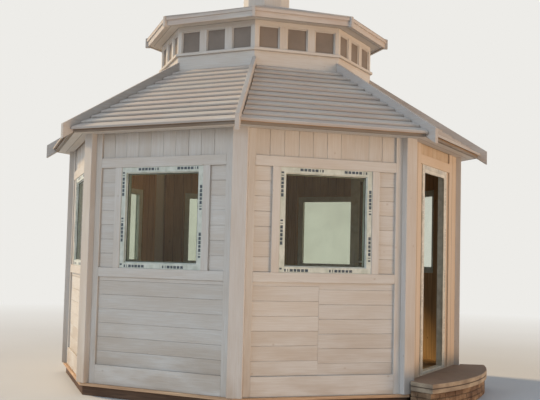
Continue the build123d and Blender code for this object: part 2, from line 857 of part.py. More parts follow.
def upper_top(apothem):
    """Height of the upper roof's boards."""
    return cap_top + (cap_apothem - apothem) * upper_roof_slope


def upper_hip_top(radius):
    return upper_top(radius * cos_half) + upper_hip_stand


# Upper roof boards, from the cap to the finial block
with BuildPart() as upper_side:
    with BuildSketch(section_plane(0)):
        with BuildLine():
            inner = fascia_apothem - fascia_thickness
            Polyline(
                (finial_apothem, upper_top(finial_apothem) - upper_roof_thickness),
                (inner, upper_top(inner) - upper_roof_thickness),
                (inner, cap_top),
                (cap_apothem, cap_top),
                (finial_apothem, upper_top(finial_apothem)),
                close=True,
            )
        make_face()
    extrude(amount=fascia_apothem, both=True)
    with BuildSketch(Plane.XY):
        wedge(finial_apothem - cutter_margin, cap_apothem + cutter_margin, upper_hip_thickness)
    extrude(amount=cutter_height, mode=Mode.INTERSECT)

with BuildPart() as upper_roof:
    with PolarLocations(0, side_count):
        add(upper_side.part)
upper_roof.part.label = "upper_roof"
export_step(upper_roof.part, "parts/upper_roof.step")

# Upper hip planks, each with a deeper block at its tail
tail_block_radius = (fascia_apothem - fascia_thickness) / cos_half
upper_tail_radius = cap_apothem / cos_half + upper_tail_projection
with BuildPart() as upper_hips:
    for corner in all_sides:
        with BuildSketch(section_plane(corner + 0.5)):
            with BuildLine():
                tail_bottom = upper_hip_top(upper_tail_radius) - upper_tail_depth
                Polyline(
                    (finial_apothem, upper_hip_top(finial_apothem)),
                    (upper_tail_radius, upper_hip_top(upper_tail_radius)),
                    (upper_tail_radius, tail_bottom),
                    (tail_block_radius, tail_bottom),
                    (tail_block_radius, upper_hip_top(tail_block_radius) - upper_hip_depth),
                    (finial_apothem, upper_hip_top(finial_apothem) - upper_hip_depth),
                    close=True,
                )
            make_face()
        extrude(amount=upper_hip_thickness / 2, both=True)
    with BuildSketch(Plane.XY):
        octagon(finial_apothem)
    extrude(amount=cutter_height, mode=Mode.SUBTRACT)
upper_hips.part.label = "upper_hips"
export_step(upper_hips.part, "parts/upper_hips.step")

# Finial: a block that the upper hips end on, its cap, a low roof and a turned ball
block_top = upper_top(finial_apothem) + finial_block_stand
with BuildPart() as finial_block:
    with BuildSketch(Plane.XY.offset(block_top - finial_block_height)):
        octagon(finial_apothem)
    extrude(amount=finial_block_height)
finial_block.part.label = "finial_block"
export_step(finial_block.part, "parts/finial_block.step")

finial_cap_apothem = finial_apothem + finial_cap_projection
finial_cap_top = block_top + finial_cap_thickness
neck_foot = finial_cap_top + finial_roof_height
ball_middle = neck_foot + finial_neck_height + finial_ball_radius
with BuildPart() as finial_cap:
    with BuildSketch(Plane.XY.offset(block_top)):
        octagon(finial_cap_apothem)
    extrude(amount=finial_cap_thickness)
    with BuildSketch(Plane.XY.offset(finial_cap_top)):
        octagon(finial_cap_apothem)
    with BuildSketch(Plane.XY.offset(finial_cap_top + finial_roof_height)):
        octagon(finial_neck_radius)
    loft()
    with Locations((0, 0, neck_foot)):
        Cylinder(
            finial_neck_radius, ball_middle - neck_foot, align=(Align.CENTER, Align.CENTER, Align.MIN)
        )
    with Locations((0, 0, ball_middle)):
        Sphere(finial_ball_radius)
finial_cap.part.label = "finial_cap"
export_step(finial_cap.part, "parts/finial_cap.step")


# Stone doorstep: two slabs on brickwork, cut as a sector of a ring between two corners
step_top = foot + step_rise
step_half_width = post_side_u - step_post_gap
step_back_radius = post_face_radius + step_post_gap
step_shoulder = (step_back_radius - step_half_width * sin_half) / cos_half


def step_layer(bottom, height, inset, back):
    """One layer of the step: its ends run in line with the corner posts, clear of their faces."""
    rim = wall_apothem + step_reach - inset
    end = (rim * sin_half, -rim * cos_half)
    ear = (step_back_radius * sin_half, -step_back_radius * cos_half)
    side = step_half_width
    with BuildSketch(Plane.XY.offset(bottom)) as outline:
        with BuildLine():
            ThreePointArc((-end[0], end[1]), (0, -rim), end)
            Polyline(
                end, ear, (side, -step_shoulder), (side, back),
                (-side, back), (-side, -step_shoulder), (-ear[0], ear[1]), (-end[0], end[1]),
            )
        make_face()
    extrude(outline.sketch, amount=height)


with BuildPart() as step_upper_slab:
    step_layer(step_top - step_slab_thickness, step_slab_thickness, 0, -wall_apothem)
step_upper_slab.part.label = "step_upper_slab"
export_step(step_upper_slab.part, "parts/step_upper_slab.step")

lower_slab_bottom = step_top - 2 * step_slab_thickness
with BuildPart() as step_lower_slab:
    step_layer(lower_slab_bottom, step_slab_thickness, 0, -wall_apothem - base_board_projection)
step_lower_slab.part.label = "step_lower_slab"
export_step(step_lower_slab.part, "parts/step_lower_slab.step")

with BuildPart() as step_brickwork:
    step_layer(0, lower_slab_bottom, step_brick_inset, -wall_apothem - base_board_projection)
step_brickwork.part.label = "step_brickwork"
export_step(step_brickwork.part, "parts/step_brickwork.step")
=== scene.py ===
import json
import math
import bpy
import bmesh
import numpy as np
from mathutils import Matrix


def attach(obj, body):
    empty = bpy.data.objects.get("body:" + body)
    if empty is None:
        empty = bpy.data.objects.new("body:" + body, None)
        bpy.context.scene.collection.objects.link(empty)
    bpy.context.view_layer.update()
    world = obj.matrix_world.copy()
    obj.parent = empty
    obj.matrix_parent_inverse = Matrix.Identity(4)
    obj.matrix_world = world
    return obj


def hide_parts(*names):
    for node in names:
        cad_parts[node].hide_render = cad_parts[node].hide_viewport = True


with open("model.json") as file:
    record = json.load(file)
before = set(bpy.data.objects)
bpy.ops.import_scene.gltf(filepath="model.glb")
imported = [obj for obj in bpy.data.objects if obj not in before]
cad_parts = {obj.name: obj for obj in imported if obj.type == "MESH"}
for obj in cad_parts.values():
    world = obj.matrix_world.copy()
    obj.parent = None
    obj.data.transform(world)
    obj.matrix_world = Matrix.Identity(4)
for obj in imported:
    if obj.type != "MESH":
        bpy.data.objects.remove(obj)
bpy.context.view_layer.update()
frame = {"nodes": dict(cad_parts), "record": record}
scene = bpy.context.scene
nodes = frame["nodes"]
chance = np.random.default_rng(11)  # the same small differences each run
print("frame loaded:", len(nodes), "timbers, panes and fittings")

# The plan of the building in metres, as the frame has it
plan = {
    "sides": 8, "boardApothem": 1.982, "frameApothem": 1.994, "panelHalf": 0.687, "windowHalf": 0.449,
    "studWidth": 0.073, "doorEdge": 0.500, "floorTop": 0.243, "panelBottom": 0.298, "panelTop": 1.126,
    "windowBottom": 1.213, "windowTop": 2.158, "friezeBottom": 2.251, "doorHeaderTop": 2.386,
    "soffitTop": 2.503,
}
allSides = np.arange(plan["sides"])
windowSides = allSides[1:]
halfTurn = math.pi / plan["sides"]
tanHalf = math.tan(halfTurn)
cosHalf = math.cos(halfTurn)
sinHalf = math.sin(halfTurn)
# The grain's map: a board starts anywhere in its reach, in metres, and an end spans a share of its girth
grainMap = {"reach": 40.0, "endShare": 0.3}


# Points from x, y and height, each spread over the others' shapes
def pointsOf(x, y, height):
    return np.stack(np.broadcast_arrays(x, y, height), axis=-1)


# Points of a side: outward times its normal, plus along times its level direction, plus height
def onSide(side, along, outward, height):
    angle = -math.pi / 2 + np.asarray(side, float) * 2 * halfTurn
    x = outward * np.cos(angle) - along * np.sin(angle)
    y = outward * np.sin(angle) + along * np.cos(angle)
    return pointsOf(x, y, height)


# Outline of a board or block as outward and across, with a chamfer on both edges of its face
def chamfered(low, high, face, thickness, chamfer):
    back = face - thickness
    outward = np.concatenate((back, face - chamfer, face, face, face - chamfer, back), axis=1)
    across = np.concatenate((low, low, low + chamfer, high - chamfer, high, high), axis=1)
    return outward, across


# An outline carried through stations: rings holds n pieces x stations x outline points. Each strip
# joins a station to the next, and its map is metres along the strip and metres round the outline.
def carried(rings, closed=False, shift=0.0):
    count, stations, corners = rings.shape[:3]
    spans = stations if closed else stations - 1
    first = np.arange(spans)
    second = (first + 1) % stations
    here = np.arange(corners)
    onward = (here + 1) % corners

    def number(station, corner):
        whole = np.arange(count)[:, None, None] * stations + station[None, :, None]
        return whole * corners + corner[None, None, :]

    quads = np.stack((number(first, here), number(second, here), number(second, onward),
                      number(first, onward)), axis=-1)
    start, end = rings[:, first], rings[:, second]
    run = (end - start).mean(axis=2, keepdims=True)
    run = run / np.linalg.norm(run, axis=-1, keepdims=True)
    shift = np.broadcast_to(np.asarray(shift, float), (count,))[:, None, None]
    alongStart = (start * run).sum(-1) + shift
    alongEnd = (end * run).sum(-1) + shift
    step = np.linalg.norm(np.roll(rings[:, 0], -1, axis=1) - rings[:, 0], axis=-1)
    around = np.concatenate((np.zeros((count, 1)), np.cumsum(step, axis=1)), axis=1)
    low = np.broadcast_to(around[:, None, :-1], alongStart.shape)
    high = np.broadcast_to(around[:, None, 1:], alongStart.shape)
    nextStart, nextEnd = np.roll(alongStart, -1, axis=2), np.roll(alongEnd, -1, axis=2)
    fourCorners = ((alongStart, low), (alongEnd, low), (nextEnd, high), (nextStart, high))
    uv = np.stack([np.stack(pair, axis=-1) for pair in fourCorners], axis=3).reshape(-1, 2)
    faces = quads.reshape(-1, 4).tolist()
    owner = np.repeat(np.arange(count), spans * corners)
    if not closed:
        for station in (0, stations - 1):
            caps = np.arange(count)[:, None] * stations * corners + station * corners + here[None, :]
            faces += caps.tolist()
            owner = np.concatenate((owner, np.arange(count)))
            flat = np.stack((around[:, :-1] * grainMap["endShare"], around[:, :-1]), axis=-1)
            uv = np.concatenate((uv, flat.reshape(-1, 2)))
    return rings.reshape(-1, 3), faces, uv, owner


# A mesh from points and faces, its map named grain and a tone for each piece, faces turned outward
def meshFrom(name, shape):
    points, faces, uv, owner = shape
    mesh = bpy.data.meshes.new(name)
    mesh.from_pydata(points.tolist(), [], faces)
    mesh.uv_layers.new(name="grain").data.foreach_set("uv", np.ascontiguousarray(uv, np.float32).ravel())
    tones = chance.random(int(owner.max()) + 1)[owner]
    mesh.attributes.new("tone", "FLOAT", "FACE").data.foreach_set("value", tones.astype(np.float32))
    shell = bmesh.new()
    shell.from_mesh(mesh)
    bmesh.ops.recalc_face_normals(shell, faces=shell.faces)
    shell.to_mesh(mesh)
    shell.free()
    return mesh


finishes = {}


# A new object, in the scene
def added(name, data):
    thing = bpy.data.objects.new(name, data)
    scene.collection.objects.link(thing)
    return thing


# Shows a mesh with a finish by name, on its body, in place of the frame's nodes named last
def show(name, mesh, finish, slot, *replaced, body="gazebo"):
    piece = added(name, mesh)
    mesh.materials.clear()
    mesh.materials.append(finishes[finish])
    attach(piece, body)
    if replaced:
        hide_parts(*replaced)
    return piece


# Shows outlines carried through stations
def showRings(name, rings, *named, closed=False, body="gazebo"):
    show(name, meshFrom(name, carried(rings, closed)), *named, body=body)


# Shows boards, each cut from its own stretch of the grain
def showBoards(name, rings, *named):
    shift = chance.uniform(0.0, grainMap["reach"], len(rings))
    show(name, meshFrom(name, carried(rings, shift=shift)), *named)


# The empty node tree of a new finish, kept under its name
def newTree(name):
    finishes[name] = bpy.data.materials.new(name)
    finishes[name].use_nodes = True
    finishes[name].node_tree.nodes.clear()
    return finishes[name].node_tree


# Links a socket to another one, or sets it to a plain value
def feed(tree, socket, value):
    if isinstance(value, bpy.types.NodeSocket):
        tree.links.new(value, socket)
    else:
        socket.default_value = value


# A node with its settings and its sockets fed
def put(tree, kind, sockets=None, **settings):
    node = tree.nodes.new("ShaderNode" + kind)
    for key, value in settings.items():
        setattr(node, key, value)
    for key, value in (sockets or {}).items():
        feed(tree, node.inputs[key], value)
    return node


# Takes a finish's shader to its output
def ended(tree, shader):
    put(tree, "OutputMaterial", {"Surface": shader.outputs[0]})


# Takes a plain surface to the output: its colour, its roughness and whatever else is fed
def surfaced(tree, colour, rough, more=()):
    ended(tree, put(tree, "BsdfPrincipled", {"Base Color": colour, "Roughness": rough, **dict(more)}))


# One step of arithmetic on numbers
def maths(tree, operation, *values):
    return put(tree, "Math", dict(enumerate(values)), operation=operation).outputs[0]


# One step of arithmetic on two vectors
def vectorMaths(tree, operation, first, second):
    return put(tree, "VectorMath", {0: first, 1: second}, operation=operation).outputs[0]


# A vector's parts X, Y and Z
def partsOf(tree, vector):
    return put(tree, "SeparateXYZ", {0: vector}).outputs


# The piece's own coordinates, in metres
def placeOf(tree):
    return put(tree, "TexCoord").outputs["Object"]


# The piece's own map: metres along the grain and round the outline
def mapOf(tree):
    return put(tree, "UVMap", uv_map="grain").outputs[0]


# The piece's own tone, from 0 to 1
def toneOf(tree):
    return put(tree, "Attribute", attribute_name="tone").outputs["Fac"]


mostNoise = (0.3, 0.7)  # between these lies most of a noise


# Cloudy noise from 0 to 1 of vector times scale, part by part
def noise(tree, vector, scale, detail=3.0, roughness=0.55):
    scaled = vectorMaths(tree, "MULTIPLY", vector, scale)
    sockets = {"Vector": scaled, "Scale": 1.0, "Detail": detail, "Roughness": roughness}
    return put(tree, "TexNoise", sockets).outputs["Fac"]


# A number from 0 to 1 by chance, the same one for the same value
def lot(tree, value):
    return put(tree, "TexWhiteNoise", {"W": value}, noise_dimensions="1D").outputs["Value"]


# value from low..high taken to start..end and held there outside
def between(tree, value, low, high, start=0.0, end=1.0):
    sockets = {"Value": value, "From Min": low, "From Max": high, "To Min": start, "To Max": end}
    return put(tree, "MapRange", sockets, clamp=True).outputs[0]


# first x (1 - factor) + second x factor, or another blend of the two colours
def mixColour(tree, factor, first, second, blend="MIX"):
    node = put(tree, "Mix", {"Factor": factor}, data_type="RGBA", blend_type=blend)
    for number, value in ((6, first), (7, second)):  # the two colour sockets, by their places
        feed(tree, node.inputs[number], value)
    return node.outputs[2]


# A surface's normals tilted as if it rose by height x distance
def bumped(tree, height, distance, strength):
    return put(tree, "Bump", {"Height": height, "Distance": distance, "Strength": strength}).outputs[0]


# A colour as a screen shows it, turned to light: ((c + 0.055) / 1.055) ^ 2.4, or c / 12.92 in the dark
def plain(*shown):
    return tuple(((c + 0.055) / 1.055) ** 2.4 if c > 0.04 else c / 12.92 for c in shown) + (1.0,)


# A light times a share
def dimmed(colour, share):
    return tuple(c * share for c in colour[:3]) + (1.0,)


# The grain's noises, as waves per metre along it, across it and away, and where each is read
grainScale = {
    "bend": (0.9, 5.0, 5.0), "wander": 0.05, "fibres": (6.0, 260.0, 260.0), "rings": (1.1, 34.0, 34.0),
    "bands": 5.0, "band": (0.05, 0.45), "knots": (1.0, 1.35, 1.35), "knotScale": 4.6, "knot": (0.075, 0.03),
    "broad": (1.3, 4.5, 4.5),
}


# A group of nodes, its sockets in and out as {name: kind}, and its two ends
def newGroup(name, given, gives):
    group = bpy.data.node_groups.new(name, "ShaderNodeTree")
    for flow, sockets in (("INPUT", given), ("OUTPUT", gives)):
        for socket, kind in sockets.items():
            group.interface.new_socket(socket, in_out=flow, socket_type="NodeSocket" + kind)
    return group, group.nodes.new("NodeGroupInput").outputs, group.nodes.new("NodeGroupOutput").inputs


# Grain shared by every timber: x runs along the grain, in metres
def buildGrain():
    gives = dict.fromkeys(("Fibres", "Figure", "Knots", "Broad"), "Float")
    group, start, end = newGroup("timberGrain", {"Vector": "Vector"}, gives)
    vector = start["Vector"]
    bend = maths(group, "MULTIPLY", noise(group, vector, grainScale["bend"], 2.0), grainScale["wander"])
    wander = put(group, "CombineXYZ", {"Y": bend}).outputs[0]
    bent = vectorMaths(group, "ADD", vector, wander)
    fibres = noise(group, bent, grainScale["fibres"], 4.0, 0.6)
    rings = maths(group, "MULTIPLY", noise(group, bent, grainScale["rings"], 2.0), grainScale["bands"])
    figure = between(group, maths(group, "PINGPONG", rings, 0.5), *grainScale["band"])
    spots = put(group, "TexVoronoi", {"Vector": vectorMaths(group, "MULTIPLY", vector, grainScale["knots"]),
                                      "Scale": grainScale["knotScale"], "Randomness": 1.0},
                feature="F1", distance="EUCLIDEAN")
    knots = between(group, spots.outputs["Distance"], *grainScale["knot"])
    broad = noise(group, vector, grainScale["broad"], 3.0)
    for name, value in zip(gives, (fibres, figure, knots, broad)):
        feed(group, end[name], value)
    return group


# Place on the building as (along the side, outward, up), from the piece's own coordinates.
# Turn is 0 for a side's own directions and 0.5 for a corner's; Side counts them from the door.
def buildPlace():
    group, start, end = newGroup("placeOnSide", {"Turn": "Float"}, {"Place": "Vector", "Side": "Float"})
    place = placeOf(group)
    parts = partsOf(group, place)
    angle = maths(group, "ARCTAN2", parts["Y"], parts["X"])
    steps = maths(group, "MULTIPLY_ADD", angle, 1 / (2 * halfTurn), plan["sides"] / 4)
    side = maths(group, "ROUND", maths(group, "SUBTRACT", steps, start["Turn"]))
    middle = maths(group, "ADD", side, start["Turn"])
    back = maths(group, "MULTIPLY_ADD", middle, -2 * halfTurn, math.pi / 2)
    turned = put(group, "VectorRotate", {"Vector": place, "Angle": back}, rotation_type="Z_AXIS").outputs[0]
    across = partsOf(group, turned)
    order = put(group, "CombineXYZ", {"X": across["Y"], "Y": across["X"], "Z": across["Z"]})
    feed(group, end["Place"], order.outputs[0])
    feed(group, end["Side"], maths(group, "FLOORED_MODULO", side, float(plan["sides"])))
    return group


grainGroup = buildGrain()
placeGroup = buildPlace()
# Which part of the place the grain runs along, which lies across it and which away from it
timberOrder = {"level": "XZY", "upright": "ZXY", "post": "ZXY", "hip": "YZX", "flat": "XYZ", "floor": "YXZ"}
# How far apart two pieces, sides or boards lie in the grain, and two boards' tones, to look unlike
apart = {"piece": 37.0, "side": 3.7, "board": 23.0, "tone": 1.37}


# A place in the grain moved away by value x distance
def movedAway(tree, vector, value, distance):
    away = put(tree, "CombineXYZ", {"Z": maths(tree, "MULTIPLY", value, distance)})
    return vectorMaths(tree, "ADD", vector, away.outputs[0])


# Grain coordinates: the board's own map, or turned to its side or corner of the building
def grainVector(tree, run):
    if run == "map":
        tone = toneOf(tree)
        return movedAway(tree, mapOf(tree), tone, apart["piece"]), tone, None, None
    first, second, third = timberOrder[run]
    if run == "floor":
        parts = partsOf(tree, placeOf(tree))
        away, tone, side = parts[third], 0.5, None
    else:
        turn = 0.5 if run in ("post", "hip") else 0.0
        place = put(tree, "Group", {"Turn": turn}, node_tree=placeGroup)
        side = place.outputs["Side"]
        parts = partsOf(tree, place.outputs["Place"])
        away = maths(tree, "MULTIPLY_ADD", side, apart["side"], parts[third])
        tone = lot(tree, side)
    vector = put(tree, "CombineXYZ", {"X": parts[first], "Y": parts[second], "Z": away})
    return vector.outputs[0], tone, parts, side


# What timbers share: where their noises are read, the heights over which they darken towards the bottom, the
# band on the map up to which a course's butt and nose get painted shade, their gloss and relief, and how
# their board lines look
timber = {
    "patches": (0.38, 0.62), "streaks": (0.48, 0.74), "splash": (0.15, 0.75), "butt": (0.017, 0.021),
    "doorSide": (0.4, 0.6), "roughSpread": 0.08, "specular": 0.32, "figureRise": 0.35, "strength": 0.7,
    "lineCore": 0.3, "lineShade": 0.85, "lineDrop": -3.0,
}


# Timber: grain and knots under a thin coat, a tone for each piece, and board lines where asked.
# A line is dark where the distance to it, pingpong(place - start, pitch / 2), is under its half width.
def timberFinish(name, run, look, lines=None):
    tree = newTree(name)
    vector, tone, parts, side = grainVector(tree, run)
    gap = None
    if lines:
        axis, pitch, start, half = lines
        measure = maths(tree, "SUBTRACT", parts[axis], start)
        board = maths(tree, "FLOOR", maths(tree, "DIVIDE", measure, pitch))
        tone = lot(tree, maths(tree, "MULTIPLY_ADD", board, apart["tone"], tone))
        vector = movedAway(tree, vector, tone, apart["board"])
        toLine = maths(tree, "PINGPONG", measure, pitch / 2)
        gap = between(tree, toLine, timber["lineCore"] * half, half, 1.0, 0.0)
    grain = put(tree, "Group", {"Vector": vector}, node_tree=grainGroup).outputs
    patches = between(tree, grain["Broad"], *timber["patches"])
    layers = [(patches, "thin"),
              (maths(tree, "MULTIPLY", grain["Figure"], look["figure"]), "vein"),
              (between(tree, grain["Fibres"], *timber["streaks"], 0.0, look["fibre"]), "vein"),
              (maths(tree, "MULTIPLY", grain["Knots"], look["knot"]), "heart")]
    # Darker towards the bottom, in patches
    if look["splash"]:
        low = between(tree, partsOf(tree, placeOf(tree))["Z"], *timber["splash"], look["splash"], 0.0)
        layers.append((maths(tree, "MULTIPLY", low, patches), "bottomColour"))
    # Painted shade: a course's butt and nose are darker, as if shaded by the lap of the course above
    if look["butt"]:
        around = partsOf(tree, mapOf(tree))["Y"]
        layers.append((between(tree, around, *timber["butt"], look["butt"], 0.0), "edge"))
    if look["bare"]:
        layers.append((between(tree, side, *timber["doorSide"], look["bare"], 0.0), "pine"))
    colour = look["coat"]
    for factor, layer in layers:
        colour = mixColour(tree, factor, colour, look[layer])
    shade = between(tree, tone, 0.0, 1.0, 1.0 - look["spread"], 1.0)
    grey = put(tree, "CombineColor", {0: shade, 1: shade, 2: shade}).outputs[0]
    colour = mixColour(tree, 1.0, colour, grey, "MULTIPLY")
    height = maths(tree, "MULTIPLY_ADD", grain["Figure"], timber["figureRise"], grain["Fibres"])
    if gap is not None:
        colour = mixColour(tree, maths(tree, "MULTIPLY", gap, timber["lineShade"]), colour, look["gap"])
        height = maths(tree, "MULTIPLY_ADD", gap, timber["lineDrop"], height)
    rough = between(tree, grain["Broad"], *mostNoise, look["rough"] - timber["roughSpread"],
                    look["rough"] + timber["roughSpread"])
    surfaced(tree, colour, rough, {"Normal": bumped(tree, height, look["relief"], timber["strength"]),
                                   "Specular IOR Level": timber["specular"]})


# Colours of the coat, where it is thin, of veins, knots, the darkening towards the bottom and gaps, and how
# strong each thing is
paintLook = {
    "coat": plain(0.79, 0.785, 0.78), "thin": plain(0.77, 0.75, 0.73), "vein": plain(0.70, 0.66, 0.62),
    "heart": plain(0.58, 0.50, 0.43), "bottomColour": plain(0.60, 0.53, 0.46), "gap": plain(0.28, 0.25, 0.22),
    "figure": 0.24, "fibre": 0.40, "knot": 0.35, "spread": 0.08, "splash": 0.45, "butt": 0.0, "bare": 0.0,
    "rough": 0.62, "relief": 0.0012,
}
bareLook = {
    "coat": plain(0.76, 0.63, 0.48), "thin": plain(0.69, 0.56, 0.42), "vein": plain(0.54, 0.41, 0.29),
    "heart": plain(0.30, 0.19, 0.11), "bottomColour": plain(0.30, 0.24, 0.19), "gap": plain(0.10, 0.07, 0.05),
    "figure": 0.5, "fibre": 0.4, "knot": 0.8, "spread": 0.18, "splash": 0.0, "butt": 0.0, "bare": 0.0,
    "rough": 0.66, "relief": 0.0010,
}


# A look changed to three other colours, and in whatever else is named
def recoated(look, coat, thin, vein, **more):
    return dict(look, coat=plain(*coat), thin=plain(*thin), vein=plain(*vein), **more)


# The door side has a thinner coat, and the pine shows through
doorLook = dict(paintLook, bare=0.50, pine=plain(0.78, 0.66, 0.51))
# Over the door the frieze is darker and warmer: partly a thinner coat, partly painted shade under the eave
doorFriezeCoatAndShade = recoated(paintLook, (0.77, 0.71, 0.63), (0.74, 0.66, 0.57), (0.64, 0.55, 0.46))
postLook = recoated(paintLook, (0.76, 0.75, 0.745), (0.74, 0.72, 0.705), (0.70, 0.66, 0.62))
baseLook = recoated(bareLook, (0.82, 0.70, 0.58), (0.74, 0.61, 0.50), (0.58, 0.46, 0.36))
beamLook = recoated(bareLook, (0.42, 0.33, 0.27), (0.35, 0.27, 0.22), (0.24, 0.18, 0.14))
roofLook = recoated(paintLook, (0.77, 0.76, 0.75), (0.75, 0.71, 0.69), (0.65, 0.59, 0.54),
                    spread=0.09, splash=0.0)
# Courses: their butts take the darker edge colour, painted shade under the lap
courseLook = dict(roofLook, butt=0.55, edge=plain(0.60, 0.57, 0.55))
hipLook = recoated(roofLook, (0.74, 0.735, 0.735), (0.71, 0.695, 0.69), (0.65, 0.59, 0.54))
# The eave strips sit set back under the eave: their dark coat is painted shade
eaveShadeLook = recoated(roofLook, (0.56, 0.53, 0.50), (0.52, 0.47, 0.43), (0.42, 0.37, 0.32))
fine = 0.0034
# Timbers by name: how the grain runs, the look, and board lines as the axis across them, their
# pitch, the place of one and half a line's width, in metres
for timberParts in (
        ("paint_map", "map", paintLook),
        ("paint_level", "level", paintLook),
        ("paint_upright", "upright", paintLook),
        ("paint_post", "post", postLook),
        ("paint_stile", "upright", doorLook, ("X", 1.2, 0.6, 0.006)),
        ("paint_rail", "level", doorLook),
        ("paint_door_frieze", "map", doorFriezeCoatAndShade),
        ("paint_roof", "map", courseLook),
        ("paint_hip_plank", "hip", hipLook),
        ("paint_fascia", "level", roofLook),
        ("paint_eave", "level", eaveShadeLook),
        ("paint_soffit", "flat", paintLook, ("Y", 0.085, 2.0, fine)),
        ("paint_upper_soffit", "flat", paintLook, ("Y", 0.09, 1.094, fine)),
        ("bare_level", "level", bareLook),
        ("bare_wall", "upright", bareLook, ("X", 0.115, 0.02, fine)),
        ("bare_floor", "floor", bareLook, ("X", 0.14, 0.03, fine)),
        ("bare_joist", "floor", bareLook),
        ("base_board", "flat", baseLook),
        ("base_beam", "level", beamLook),
        ("roof_courses_ceiling", "flat", bareLook, ("Y", 0.105, 0.02, fine)),
        ("upper_courses_ceiling", "flat", bareLook, ("Y", 0.105, 0.02, fine))):
    timberFinish(*timberParts)

# Window plastic under its protective film, and the film's dashes in metres along a bar, on a strip
# from low to high round its outline
film = {
    "wrinkles": (14.0, 14.0, 14.0), "patches": (0.35, 0.65), "rough": (0.25, 0.42), "relief": 0.0008,
    "strength": 0.5, "streaks": (60.0, 60.0, 9.0), "streaky": (0.5, 0.8), "streakMost": 0.40,
    "streak": plain(0.60, 0.61, 0.57), "ink": plain(0.17, 0.22, 0.28), "wear": (120.0, 120.0, 120.0),
    "worn": (0.3, 0.5), "leastInk": 0.70, "soft": 0.002, "repeat": 0.43, "start": 0.40,
    "low": 0.079, "high": 0.115,
    "dashes": ((0.004, 0.022), (0.034, 0.044), (0.056, 0.088), (0.094, 0.120), (0.126, 0.158),
               (0.164, 0.194), (0.200, 0.232)),
}
white = (plain(0.80, 0.82, 0.80), plain(0.70, 0.73, 0.70))
# A duller, warmer white for the door: partly the film's own tint, partly painted warm shade
creamAndWarmShade = (plain(0.80, 0.785, 0.74), plain(0.70, 0.685, 0.64))


# One printed dash of the film: 1 between two distances, with soft ends
def dash(tree, value, start, end):
    rise = between(tree, value, start, start + film["soft"])
    fall = between(tree, value, end - film["soft"], end, 1.0, 0.0)
    return maths(tree, "MULTIPLY", rise, fall)


# White plastic in a light and a dull tint. Where marked, by how much, the film carries a row of plain
# dashes along each bar, again and again.
def plasticFinish(name, tints, marked=0.0):
    tree = newTree(name)
    place = placeOf(tree)
    wrinkles = noise(tree, place, film["wrinkles"], 4.0)
    streaky = noise(tree, place, film["streaks"], 3.0)
    colour = mixColour(tree, between(tree, wrinkles, *film["patches"]), *tints)
    streaks = between(tree, streaky, *film["streaky"], 0.0, film["streakMost"])
    colour = mixColour(tree, streaks, colour, film["streak"])
    if marked:
        uv = partsOf(tree, mapOf(tree))
        along = maths(tree, "FLOORED_MODULO", maths(tree, "ADD", uv["X"], film["start"]), film["repeat"])
        marks = None
        for start, end in film["dashes"]:
            one = dash(tree, along, start, end)
            marks = one if marks is None else maths(tree, "MAXIMUM", marks, one)
        band = dash(tree, uv["Y"], film["low"], film["high"])
        wear = noise(tree, place, film["wear"], 2.0)
        worn = between(tree, wear, *film["worn"], film["leastInk"] * marked, marked)
        ink = maths(tree, "MULTIPLY", maths(tree, "MULTIPLY", marks, band), worn)
        colour = mixColour(tree, ink, colour, film["ink"])
    surfaced(tree, colour, between(tree, wrinkles, *mostNoise, *film["rough"]),
             {"Normal": bumped(tree, wrinkles, film["relief"], film["strength"])})


glass = {"clouds": (3.0, 3.0, 3.0), "cloudy": (0.35, 0.70), "gloss": 0.03,
         "least": 0.015, "most": 0.35, "power": 4.0}


# Flat glass: clear with a tint under dust. The mirrored share is least + most x slant^power, where
# slant runs from 0 face on to 1 edge on, alike on a pane's two faces.
def glassFinish(name, tint, dust, grime):
    tree = newTree(name)
    cloudy = between(tree, noise(tree, placeOf(tree), glass["clouds"], 5.0), *glass["cloudy"], *dust)
    clear = put(tree, "BsdfTransparent", {"Color": tint})
    shine = put(tree, "BsdfGlossy", {"Color": (1.0, 1.0, 1.0, 1.0), "Roughness": glass["gloss"]})
    dull = put(tree, "BsdfDiffuse", {"Color": grime})
    slant = put(tree, "LayerWeight", {"Blend": 0.5}).outputs["Facing"]
    steep = maths(tree, "POWER", slant, glass["power"])
    mirrored = maths(tree, "MULTIPLY_ADD", steep, glass["most"], glass["least"])
    pane = put(tree, "MixShader", {0: mirrored, 1: clear.outputs[0], 2: shine.outputs[0]})
    ended(tree, put(tree, "MixShader", {0: cloudy, 1: pane.outputs[0], 2: dull.outputs[0]}))


metal = {"brush": (400.0, 400.0, 40.0), "scratched": 0.82, "smoother": 0.06, "rougher": 0.08}


# Metal or enamel brushed upright, a little darker and rougher in its scratches
def metalFinish(name, colour, rough, metallic):
    tree = newTree(name)
    brushed = noise(tree, placeOf(tree), metal["brush"], 3.0)
    tinted = mixColour(tree, brushed, colour, dimmed(colour, metal["scratched"]))
    uneven = between(tree, brushed, *mostNoise, rough - metal["smoother"], rough + metal["rougher"])
    surfaced(tree, tinted, uneven, {"Metallic": metallic})


# How stone looks, and in metres the height of the seam between the doorstep's slabs, half the width of the
# painted shadow along it from core to edge, and the heights over which the slabs are trodden
stone = {
    "clouds": (6.0, 6.0, 9.0), "patches": (0.35, 0.65), "tones": 0.6, "pits": (0.55, 0.75), "pit": 0.5,
    "cloudRise": 1.6, "relief": 0.004, "strength": 0.8, "rough": (0.75, 0.95),
    "seam": 0.196, "seamHalf": (0.003, 0.007), "seamShade": 0.75, "seamShadowColour": plain(0.25, 0.20, 0.16),
    "trodden": (0.2355, 0.2395), "wearIn": (0.3, 0.6), "wear": (0.95, 0.65), "worn": plain(0.45, 0.35, 0.29),
}
